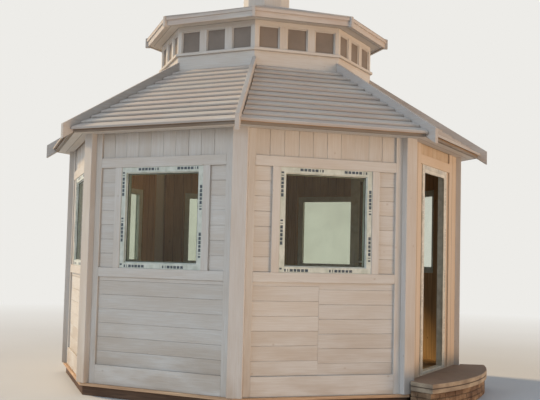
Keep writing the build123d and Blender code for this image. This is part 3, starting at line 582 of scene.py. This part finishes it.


# Rough stone or mortar: broad clouds, fine grit and pits, with a tone for each block if it has one.
# Slabs have a painted shadow along the seam between them, and a darker, worn top.
def stoneFinish(name, light, dark, grit, toned=False, slab=False):
    tree = newTree(name)
    place = placeOf(tree)
    cloud = noise(tree, place, stone["clouds"], 5.0)
    speck = noise(tree, place, (grit, grit, grit), 3.0, 0.7)
    colour = mixColour(tree, between(tree, cloud, *stone["patches"]), light, dark)
    if toned:
        colour = mixColour(tree, between(tree, toneOf(tree), 0.0, 1.0, 0.0, stone["tones"]), colour, dark)
    pits = between(tree, speck, *stone["pits"], 0.0, stone["pit"])
    colour = mixColour(tree, pits, colour, dimmed(dark, 0.5))
    if slab:
        up = partsOf(tree, place)["Z"]
        # A dark band at the seam's height: painted shadow of the gap between the slabs
        toSeam = maths(tree, "ABSOLUTE", maths(tree, "SUBTRACT", up, stone["seam"]))
        seam = between(tree, toSeam, *stone["seamHalf"], stone["seamShade"], 0.0)
        colour = mixColour(tree, seam, colour, stone["seamShadowColour"])
        worn = maths(tree, "MULTIPLY", between(tree, up, *stone["trodden"]),
                     between(tree, cloud, *stone["wearIn"], *stone["wear"]))
        colour = mixColour(tree, worn, colour, stone["worn"])
    height = maths(tree, "MULTIPLY_ADD", cloud, stone["cloudRise"], speck)
    surfaced(tree, colour, between(tree, speck, *mostNoise, *stone["rough"]),
             {"Normal": bumped(tree, height, stone["relief"], stone["strength"])})


# Black gasket rubber, finely mottled
def rubberFinish(name):
    tree = newTree(name)
    fine = noise(tree, placeOf(tree), (90.0, 90.0, 90.0), 3.0)
    colour = mixColour(tree, fine, plain(0.10, 0.10, 0.10), plain(0.18, 0.17, 0.16))
    surfaced(tree, colour, between(tree, fine, *mostNoise, 0.5, 0.7))


plasticFinish("white_plastic", white)
plasticFinish("white_plastic_film", white, 1.0)
plasticFinish("white_plastic_door", creamAndWarmShade, 0.3)
plasticFinish("white_plastic_leaf", creamAndWarmShade)
rubberFinish("gasket_rubber")
glassFinish("window_glass", (0.87, 0.89, 0.84, 1.0), (0.01, 0.07), plain(0.55, 0.49, 0.40))
glassFinish("lantern_glass", (0.50, 0.50, 0.47, 1.0), (0.70, 0.92), plain(0.565, 0.53, 0.505))
metalFinish("handle_metal", plain(0.80, 0.80, 0.80), 0.32, 1.0)
metalFinish("hinge_metal", plain(0.88, 0.88, 0.86), 0.38, 0.0)
stoneFinish("step_stone", plain(0.68, 0.62, 0.54), plain(0.53, 0.47, 0.41), 160.0, slab=True)
stoneFinish("step_brick", plain(0.60, 0.50, 0.40), plain(0.36, 0.27, 0.20), 120.0, toned=True)
stoneFinish("step_mortar", plain(0.32, 0.28, 0.24), plain(0.22, 0.19, 0.16), 220.0)
print("finishes made")


# Each name given its group's value, from {value: "name name"}
def shared(groups):
    return {name: value for value, names in groups.items() for name in names.split()}


# Every timber, pane and fitting of the frame takes its finish
finishOf = shared({
    "paint_level": "middle_rails lower_boards side_boards roof_boards lantern_curb lantern_sill "
                   "lantern_head upper_roof finial_cap",
    "paint_upright": "window_studs frieze_boards lantern_posts finial_block",
    "paint_post": "corner_posts",
    "paint_stile": "wall_stiles door_reveal_boards",
    "paint_rail": "bottom_rails top_rails",
    "paint_hip_plank": "hip_planks upper_hips",
    "paint_eave": "eave_strips",
    "paint_soffit": "eave_soffit",
    "paint_upper_soffit": "upper_soffit",
    "paint_fascia": "upper_fascia",
    "base_beam": "base_beam",
    "base_board": "base_board",
    "bare_joist": "floor_joists",
    "bare_floor": "floor_deck",
    "bare_wall": "wall_lining side_lining",
    "bare_level": "wall_plates",
    "white_plastic": "window_jambs window_heads door_jambs door_head door_stops",
    "white_plastic_leaf": "door_threshold leaf_stiles leaf_rails",
    "window_glass": "window_glass leaf_glass",
    "lantern_glass": "lantern_glass",
    "handle_metal": "leaf_handles",
    "hinge_metal": "jamb_hinges leaf_hinges",
    "step_stone": "step_upper_slab step_lower_slab",
    "step_mortar": "step_brickwork",
})
record = frame["record"]
slotOf = {part["node"]: part["material_slot"] for part in record["subparts"]}
bodyOf = {name: body for body, members in record["behaviour"]["bodies"].items() for name in members}
for name, node in nodes.items():
    node.data.materials.clear()
    node.data.materials.append(finishes[finishOf[name]])
print("finishes given to", len(finishOf), "nodes")

# Eased edges in metres: sawn timbers, plastic bars and stone slabs
eased = shared({
    0.002: "door_reveal_boards lantern_posts lantern_head",
    0.003: "wall_stiles bottom_rails middle_rails top_rails window_studs hip_planks eave_strips "
           "lantern_curb upper_fascia upper_hips leaf_stiles leaf_rails",
    0.004: "corner_posts finial_block base_board door_threshold",
    0.005: "lantern_sill base_beam",
    0.007: "step_upper_slab step_lower_slab",
})
# Metres within which points join, the angles under which faces are one and over which an edge is
# eased, and the cuts of an easing
easing = {"join": 1e-5, "flat": math.radians(1), "edge": math.radians(35), "cuts": 2}
turnedEdge = math.radians(14)  # over this angle a turned piece keeps its edge


# A copy of a node's mesh, its loose triangles joined and its flat faces made whole
def joined(name):
    source = nodes[name].data
    points = np.empty(len(source.vertices) * 3, np.float32)
    source.vertices.foreach_get("co", points)
    corners = np.empty(len(source.loops), np.int32)
    source.loops.foreach_get("vertex_index", corners)
    mesh = bpy.data.meshes.new(name + "_eased")
    mesh.from_pydata(points.reshape(-1, 3).tolist(), [], corners.reshape(-1, 3).tolist())
    shell = bmesh.new()
    shell.from_mesh(mesh)
    bmesh.ops.remove_doubles(shell, verts=shell.verts, dist=easing["join"])
    bmesh.ops.dissolve_limit(shell, angle_limit=easing["flat"], verts=shell.verts, edges=shell.edges)
    shell.to_mesh(mesh)
    shell.free()
    return mesh


for name, width in eased.items():
    piece = show(name + "_eased", joined(name), finishOf[name], slotOf[name], name, body=bodyOf[name])
    ease = piece.modifiers.new("eased", "BEVEL")
    ease.width = width
    ease.segments = easing["cuts"]
    ease.limit_method = "ANGLE"
    ease.angle_limit = easing["edge"]
print("edges eased on", len(eased), "nodes")

# The finial's cap and ball, rounded where they are turned
cap = show("finial_cap_turned", joined("finial_cap"), "paint_level", "painted_timber", "finial_cap")
cap.data.shade_smooth()
cap.data.set_sharp_from_angle(angle=turnedEdge)

# Wall boards, laid from the bottom up or from the left, the last one cut to what is left: level ones
# under and beside the windows, upright ones in the friezes. One side has a joint near its middle.
boards = {
    "thickness": 0.019, "chamfer": (0.0006, 0.0030), "gap": (0.0002, 0.0012), "proud": 0.0016,
    "wander": 0.0010, "lower": 0.132, "beside": 0.135, "frieze": 0.1374, "doorFrieze": 0.1429,
    "least": 0.02, "joinSide": 7, "joinAt": -0.054, "joinDrop": 0.026,
}


# Rows of side, start and end along the boards, and low and high edge across them
def boardRows(side, start, end, low, high, width, drop=0.0):
    inside = np.arange(low + width - drop, high - boards["least"], width)
    inside = inside + chance.normal(0.0, boards["wander"], len(inside))
    edges = np.concatenate(((low,), inside, (high,)))
    same = np.ones(len(edges) - 1)
    return np.column_stack((side * same, start * same, end * same, edges[:-1], edges[1:]))


# Boards run level or upright, each a little proud of the next by its own, with a gap all round
def boardRings(rows, upright):
    side, start, end, low, high = rows.T[:, :, None]
    face = plan["boardApothem"] - chance.uniform(0.0, boards["proud"], side.shape)
    gap = chance.uniform(*boards["gap"], side.shape)
    chamfer = chance.uniform(*boards["chamfer"], side.shape)
    outward, across = chamfered(low + gap, high - gap, face, boards["thickness"], chamfer)
    ends = (start + gap, end - gap)
    if upright:
        return np.stack([onSide(side, across, outward, reach) for reach in ends], axis=1)
    return np.stack([onSide(side, reach, outward, across) for reach in ends], axis=1)


edge, inner = plan["panelHalf"], plan["windowHalf"] + plan["studWidth"]
low, high = plan["panelBottom"], plan["panelTop"]
lowerRows = [boardRows(side, -edge, edge, low, high, boards["lower"])
             for side in windowSides if side != boards["joinSide"]]
lowerRows.append(boardRows(boards["joinSide"], -edge, boards["joinAt"], low, high, boards["lower"]))
lowerRows.append(boardRows(boards["joinSide"], boards["joinAt"], edge, low, high, boards["lower"],
                           boards["joinDrop"]))
besideRows = [boardRows(side, start, end, plan["windowBottom"], plan["windowTop"], boards["beside"])
              for side in windowSides for start, end in ((-edge, -inner), (inner, edge))]
friezeRows = [boardRows(side, plan["friezeBottom"], plan["soffitTop"], -edge, edge, boards["frieze"])
              for side in windowSides]
doorRows = [boardRows(0, plan["doorHeaderTop"], plan["soffitTop"], -plan["doorEdge"], plan["doorEdge"],
                      boards["doorFrieze"])]
for name, rows, upright, finish, replaced in (
        ("lower_wall_boards", lowerRows, False, "paint_map", ("lower_boards",)),
        ("window_side_boards", besideRows, False, "paint_map", ("side_boards",)),
        ("frieze_wall_boards", friezeRows, True, "paint_map", ("frieze_boards",)),
        ("door_frieze_boards", doorRows, True, "paint_door_frieze", ())):
    showBoards(name, boardRings(np.concatenate(rows), upright), finish, "painted_timber", *replaced)
print("wall boards laid")

# Lapped roofs: courses from the eave to the lantern, and smaller ones from the cap to the finial
mainRoof = {
    "eave": 2.230, "rise": 2.538, "slope": 0.657, "inner": 1.094, "courses": 12, "lap": 0.022,
    "thickness": 0.0175, "eaveThickness": 0.025, "hipHalf": 0.020, "overlap": 0.016, "nose": 0.006,
    "lift": 0.0025, "short": (0.001, 0.020), "under": 0.045, "strip": 2.200, "lining": 0.007,
}
upperRoof = {
    "eave": 1.260, "rise": 3.8030, "slope": 0.31, "inner": 0.240, "courses": 8, "lap": 0.010,
    "thickness": 0.0085, "eaveThickness": 0.0085, "hipHalf": 0.016, "overlap": 0.010, "nose": 0.002,
    "lift": 0.0010, "short": (0.001, 0.004), "under": 0.032, "strip": 1.221, "lining": 0.012,
}


# Half length of a course at a distance from the middle, less what it stops short of the hip
def toHip(roof, outward, short=0.0):
    return outward * tanHalf - roof["hipHalf"] / cosHalf - short


# Height of the line through the butts at a distance from the middle
def roofLine(roof, outward):
    return roof["rise"] + (roof["eave"] - outward) * roof["slope"]


# Each course is a board from its butt up to under the next one. Its face drops by the lap below the
# line through the butts, and its ends stop short of the hips by a little, each by its own.
def courseRings(roof):
    side, course = [grid.reshape(-1, 1) for grid in
                    np.meshgrid(allSides, np.arange(roof["courses"]), indexing="ij")]
    run = (roof["eave"] - roof["inner"]) / roof["courses"]
    butt = roof["eave"] - course * run
    head = butt - run
    low = roofLine(roof, butt) - chance.uniform(0.0, roof["lift"], butt.shape)
    slope = (roofLine(roof, head) - roof["lap"] - low) / (butt - head)
    thick = np.where(course == 0, roof["eaveThickness"], roof["thickness"])
    far = np.where(course == roof["courses"] - 1, head, head - roof["overlap"])
    nose = roof["nose"]
    outward = np.concatenate((butt, butt, butt - nose, far, far), axis=1)
    top = low + (butt - far) * slope
    height = np.concatenate((low - thick, low - nose, low + nose * slope, top, top - thick), axis=1)
    ends = [sign * toHip(roof, outward, chance.uniform(*roof["short"], butt.shape)) for sign in (-1, 1)]
    return np.stack([onSide(side, along, outward, height) for along in ends], axis=1)


# The ceiling under the courses, one flat lining a side
def liningRings(roof):
    side = allSides[:, None]
    outward = np.array((roof["inner"], roof["strip"], roof["strip"], roof["inner"])) + 0.0 * side
    height = roofLine(roof, outward) - roof["under"] + np.array((0.0, 0.0, roof["lining"], roof["lining"]))
    return np.stack([onSide(side, sign * toHip(roof, outward), outward, height) for sign in (-1, 1)], axis=1)


for name, roof, replaced in (("roof_courses", mainRoof, "roof_boards"),
                             ("upper_courses", upperRoof, "upper_roof")):
    showBoards(name, courseRings(roof), "paint_roof", "painted_timber", replaced)
    showRings(name + "_lining", liningRings(roof), name + "_ceiling", "painted_timber")
print("roof courses laid")

# Window frames: an outer face, a step and a bead down to the glass, and a dark gasket on the glass.
# Each profile is (inset from the outer edge, depth from the outer face), in order round the bar.
windowFrames = {
    "frame": ((0.0, -0.070), (0.0, -0.003), (0.003, 0.0), (0.049, 0.0), (0.0515, -0.002), (0.053, -0.013),
              (0.0555, -0.0155), (0.060, -0.018), (0.0625, -0.021), (0.063, -0.0225), (0.063, -0.070)),
    "gasket": ((0.0605, -0.0235), (0.0605, -0.0185), (0.0655, -0.0195), (0.0665, -0.0232)),
    "innerBead": ((0.055, -0.070), (0.063, -0.070), (0.067, -0.062), (0.069, -0.0472), (0.060, -0.0472)),
}


# Mouldings round rectangles of a side, mitred: each corner point lies where the two insets meet
def mouldingRings(side, middle, height, face, halfWidth, halfHeight, profile):
    signs = np.array(((-1, -1), (1, -1), (1, 1), (-1, 1)), float)
    inset, depth = np.array(profile).T
    along = middle[:, None, None] + signs[None, :, 0, None] * (halfWidth - inset)
    up = height + signs[None, :, 1, None] * (halfHeight - inset)
    return onSide(side[:, None, None], along, face + depth, up)


windowHeight = (plan["windowBottom"] + plan["windowTop"]) / 2
windowHalfHeight = (plan["windowTop"] - plan["windowBottom"]) / 2
for name, profile, finish, replaced in (
        ("window_frames", "frame", "white_plastic_film", ("window_jambs", "window_heads")),
        ("window_gaskets", "gasket", "gasket_rubber", ()),
        ("window_inner_beads", "innerBead", "white_plastic", ())):
    rings = mouldingRings(windowSides, 0.0 * windowSides, windowHeight, plan["frameApothem"],
                          plan["windowHalf"], windowHalfHeight, windowFrames[profile])
    showRings(name, rings, finish, "white_plastic", *replaced, closed=True)

# The lantern's small windows have a bead round each pane
lantern = {
    "apothem": 1.094, "middles": (-0.3008, 0.0, 0.3008), "height": 3.55335, "halfWidth": 0.1104,
    "halfHeight": 0.116,
    "bead": ((0.0, -0.0195), (0.0, -0.007), (0.004, -0.006), (0.012, -0.014), (0.012, -0.0195)),
}
side, middle = [grid.ravel() for grid in np.meshgrid(allSides, lantern["middles"], indexing="ij")]
rings = mouldingRings(side, middle, lantern["height"], lantern["apothem"], lantern["halfWidth"],
                      lantern["halfHeight"], lantern["bead"])
showRings("lantern_beads", rings, "paint_map", "painted_timber", closed=True)
print("window frames and beads made")

# Door frame: one bar up, across and down, mitred at the top, with the stop on its outer edge. Its
# profile is (inset, depth) as the window frames' are, its inner corner cut back for the knuckles.
doorFrame = {
    "half": 0.410, "top": 2.293,
    "profile": ((0.0, -0.075), (0.0, -0.003), (0.003, 0.0), (0.040, 0.0), (0.043, -0.002), (0.072, -0.002),
                (0.075, -0.005), (0.075, -0.010), (0.058, -0.010), (0.058, -0.072), (0.055, -0.075)),
}
inset, depth = np.array(doorFrame["profile"]).T
across, head = doorFrame["half"] - inset, doorFrame["top"] - inset
foot = np.full_like(inset, plan["floorTop"])
rings = np.stack([onSide(0, along, plan["frameApothem"] + depth, height)
                  for along, height in ((-across, foot), (-across, head), (across, head), (across, foot))])
showRings("door_frame", rings[None], "white_plastic_door", "white_plastic",
          "door_jambs", "door_head", "door_stops")

# Beads and gaskets round the leaf's two panes, on both faces
leaf = {
    "hinge": (-0.352, -1.911, 0.273), "near": 0.085, "far": 0.619, "middle": 0.038,
    "panes": ((0.110, 0.900), (0.980, 1.877)),
    "bead": ((0.0, 0.012), (0.0, 0.0285), (0.003, 0.0305), (0.012, 0.0225), (0.014, 0.012)),
    "gasket": ((0.012, 0.012), (0.012, 0.0175), (0.0165, 0.0165), (0.0175, 0.012)),
}


# Mouldings in the leaf's plane: across from the hinges, height up the leaf, depth out from its middle
def leafRings(profile):
    inset, depth = np.array(profile).T
    rings = []
    for low, high in leaf["panes"]:
        for face in (-1, 1):
            near, far = leaf["near"] + inset, leaf["far"] - inset
            bottom, top = low + inset, high - inset
            loop = ((near, bottom), (far, bottom), (far, top), (near, top))
            x = leaf["hinge"][0] + leaf["middle"] + face * depth
            rings.append([np.stack((x, leaf["hinge"][1] + across, leaf["hinge"][2] + height), axis=-1)
                          for across, height in loop])
    return np.array(rings)


for name, profile, finish in (("leaf_beads", "bead", "white_plastic_leaf"),
                              ("leaf_gaskets", "gasket", "gasket_rubber")):
    showRings(name, leafRings(leaf[profile]), finish, "white_plastic", closed=True, body="door")
print("door frame and leaf mouldings made")

# Doorstep: split blocks in three courses round a mortar core, under the two slabs
step = {
    "rim": 2.447, "backRadius": 2.2028, "halfWidth": 0.7407, "back": 2.025, "top": 0.152, "courses": 3,
    "blockLength": 0.108, "uneven": (0.65, 1.35), "joint": 0.006, "depth": 0.050, "rough": (0.0, 0.005),
    "endRough": (0.002, 0.005), "chamfer": 0.006, "core": 0.012, "coreBack": 0.006, "corePoints": 25,
}


# Starts and ends of the uneven blocks that fill a stretch
def unevenBlocks(start, end, length):
    count = max(2, int(round((end - start) / length)))
    share = np.cumsum(np.concatenate(((0.0,), chance.uniform(*step["uneven"], count))))
    edges = start + share / share[-1] * (end - start)
    return edges[:-1], edges[1:]


arcRows, endRows = [], []
courseEdges = np.linspace(0.0, step["top"], step["courses"] + 1)
for low, high in zip(courseEdges[:-1], courseEdges[1:]):
    first, last = unevenBlocks(-halfTurn, halfTurn, step["blockLength"] / step["rim"])
    arcRows += [(a, b, low, high) for a, b in zip(first, last)]
    for hand in (-1.0, 1.0):
        first, last = unevenBlocks(step["backRadius"], step["rim"] - step["depth"], step["blockLength"])
        endRows += [(a, b, low, high, hand) for a, b in zip(first, last)]

# Blocks round the rim: radius and angle from the middle of the building
gap = step["joint"] / 2
start, end, low, high = np.array(arcRows).T[:, :, None]
face = step["rim"] - chance.uniform(*step["rough"], low.shape)
radius, height = chamfered(low + gap / 2, high - gap / 2, face, step["depth"], step["chamfer"])
arcRings = np.stack([pointsOf(radius * np.sin(angle), -radius * np.cos(angle), height)
                     for angle in (start + gap / step["rim"], end - gap / step["rim"])], axis=1)

# Blocks of the two ends: radius along the corner line, and sideways out from it
start, end, low, high, hand = np.array(endRows).T[:, :, None]
face = -chance.uniform(*step["endRough"], low.shape)
sideways, height = chamfered(low + gap / 2, high - gap / 2, face, step["depth"], step["chamfer"])
endRings = np.stack([pointsOf(hand * (radius * sinHalf + sideways * cosHalf),
                              sideways * sinHalf - radius * cosHalf, height)
                     for radius in (start + gap, end - gap)], axis=1)
showRings("step_blocks", np.concatenate((arcRings, endRings)), "step_brick", "step_brick", "step_brickwork")

# The core lies behind the blocks' faces, and its back fits round the walls
core, halfWidth, behind = step["core"], step["halfWidth"], step["backRadius"] + step["coreBack"]
angle = np.linspace(-halfTurn + core / step["rim"], halfTurn - core / step["rim"], step["corePoints"])
rim = step["rim"] - core
earX, earY = behind * sinHalf - core * cosHalf, -behind * cosHalf - core * sinHalf
shoulder = (behind - halfWidth * sinHalf) / cosHalf
outline = np.concatenate((
    np.stack((rim * np.sin(angle), -rim * np.cos(angle)), axis=1),
    ((earX, earY), (halfWidth, -shoulder), (halfWidth, -step["back"]),
     (-halfWidth, -step["back"]), (-halfWidth, -shoulder), (-earX, earY))))
rings = np.stack([np.column_stack((outline, np.full(len(outline), height))) for height in (0.0, step["top"])])
showRings("step_core", rings[None], "step_mortar", "step_brick")
print("doorstep laid")

# Camera at the photograph's viewing angle: place and reach in metres, focal length in pixels
view = {
    "place": (-8.8982, -4.6683, 1.3392), "turn": math.radians(27.1414), "rise": math.radians(3.6843),
    "roll": math.radians(1.3888), "focal": 899.61, "frameWidth": 540, "sensor": 36.0, "reach": 200.0,
}
forward = np.array((math.cos(view["rise"]) * math.cos(view["turn"]),
                    math.cos(view["rise"]) * math.sin(view["turn"]), math.sin(view["rise"])))
level = np.array((math.sin(view["turn"]), -math.cos(view["turn"]), 0.0))
upward = np.cross(level, forward)
right = level * math.cos(view["roll"]) + upward * math.sin(view["roll"])
top = upward * math.cos(view["roll"]) - level * math.sin(view["roll"])


# Adds a camera or lamp, its right, top and back turned to three directions
def placed(name, data, right, top, back, place):
    holder = added(name, data)
    turned = np.eye(4)
    turned[:3] = np.column_stack((right, top, back, place))
    holder.matrix_world = Matrix(turned.tolist())
    return holder


lens = bpy.data.cameras.new("photoCamera")
lens.sensor_width = view["sensor"]
lens.lens = view["focal"] / view["frameWidth"] * view["sensor"]
lens.clip_end = view["reach"]
scene.camera = placed("photoCamera", lens, right, top, -forward, view["place"])

# Pale floor, its far edge lost in the pale background between two distances from the middle. The
# soft light comes from the sky, in two tints over a range of heights, and not from under the horizon.
studio = {
    "floorReach": 60.0, "fade": (4.0, 15.0), "pale": plain(0.93, 0.925, 0.91), "clouds": (0.5, 0.5, 0.5),
    "ground": (plain(0.80, 0.81, 0.83), plain(0.77, 0.78, 0.80)), "ambient": 0.53, "horizon": (-0.01, 0.01),
    "skyRange": (0.05, 0.75), "sky": ((1.0, 0.92, 0.84, 1.0), (0.84, 0.93, 1.0, 1.0)),
}
mesh = bpy.data.meshes.new("floor")
reach = studio["floorReach"]
corners = [(-reach, -reach, 0), (reach, -reach, 0), (reach, reach, 0), (-reach, reach, 0)]
mesh.from_pydata(corners, [], [(0, 1, 2, 3)])
floor = added("floor", mesh)
tree = newTree("floor")
place = placeOf(tree)
mottled = mixColour(tree, noise(tree, place, studio["clouds"], 2.0), *studio["ground"])
ground = put(tree, "BsdfDiffuse", {"Color": mottled})
haze = put(tree, "Emission", {"Color": studio["pale"], "Strength": 1.0})
distance = put(tree, "VectorMath", {0: place}, operation="LENGTH").outputs["Value"]
seen = put(tree, "LightPath").outputs["Is Camera Ray"]
far = maths(tree, "MULTIPLY", between(tree, distance, *studio["fade"]), seen)
ended(tree, put(tree, "MixShader", {0: far, 1: ground.outputs[0], 2: haze.outputs[0]}))
floor.data.materials.append(finishes["floor"])
floor.visible_shadow = False  # lets in the lamp that stands for light off the ground

world = bpy.data.worlds.new("studio")
scene.world = world
world.use_nodes = True
tree = world.node_tree
tree.nodes.clear()
rays = put(tree, "LightPath").outputs
seen = maths(tree, "MAXIMUM", rays["Is Camera Ray"],
             maths(tree, "MAXIMUM", rays["Is Glossy Ray"], rays["Is Transmission Ray"]))
height = partsOf(tree, put(tree, "TexCoord").outputs["Generated"])["Z"]
sky = mixColour(tree, between(tree, height, *studio["skyRange"]), *studio["sky"])
strength = between(tree, height, *studio["horizon"], 0.0, studio["ambient"])
soft = put(tree, "Background", {"Color": sky, "Strength": strength})
shown = put(tree, "Background", {"Color": studio["pale"], "Strength": 1.0})
both = put(tree, "MixShader", {0: seen, 1: soft.outputs[0], 2: shown.outputs[0]})
put(tree, "OutputWorld", {"Surface": both.outputs[0]})

# Far-off lamps as bearing, height and breadth in degrees, strength and colour: low warm light from
# behind on the left, soft cool light from the left, and soft warm light off the ground on the right,
# from under the horizon. A face turned to a lamp gets strength / pi of a plain level.
lamps = {
    "lowWarm": ((86.0, 26.0, 8.0), 3.9, (1.0, 0.72, 0.39)),
    "leftCool": ((153.0, 17.0, 30.0), 0.92, (0.70, 0.86, 1.0)),
    "rightWarm": ((272.0, -14.0, 25.0), 1.9, (1.0, 0.63, 0.34)),
}
lampDistance = 12.0
for name, (angles, strength, colour) in lamps.items():
    turn, up, breadth = [math.radians(angle) for angle in angles]
    lamp = bpy.data.lights.new(name, "SUN")
    lamp.angle = breadth
    lamp.energy = strength
    lamp.color = colour
    back = np.array((math.cos(up) * math.cos(turn), math.cos(up) * math.sin(turn), math.sin(up)))
    side = np.array((-math.sin(turn), math.cos(turn), 0.0))
    holder = placed(name, lamp, side, np.cross(back, side), back, back * lampDistance)
    holder.visible_glossy = False  # panes mirror the pale background, not the lamps
scene.view_settings.view_transform = "Standard"
print("camera, floor and lamps set")
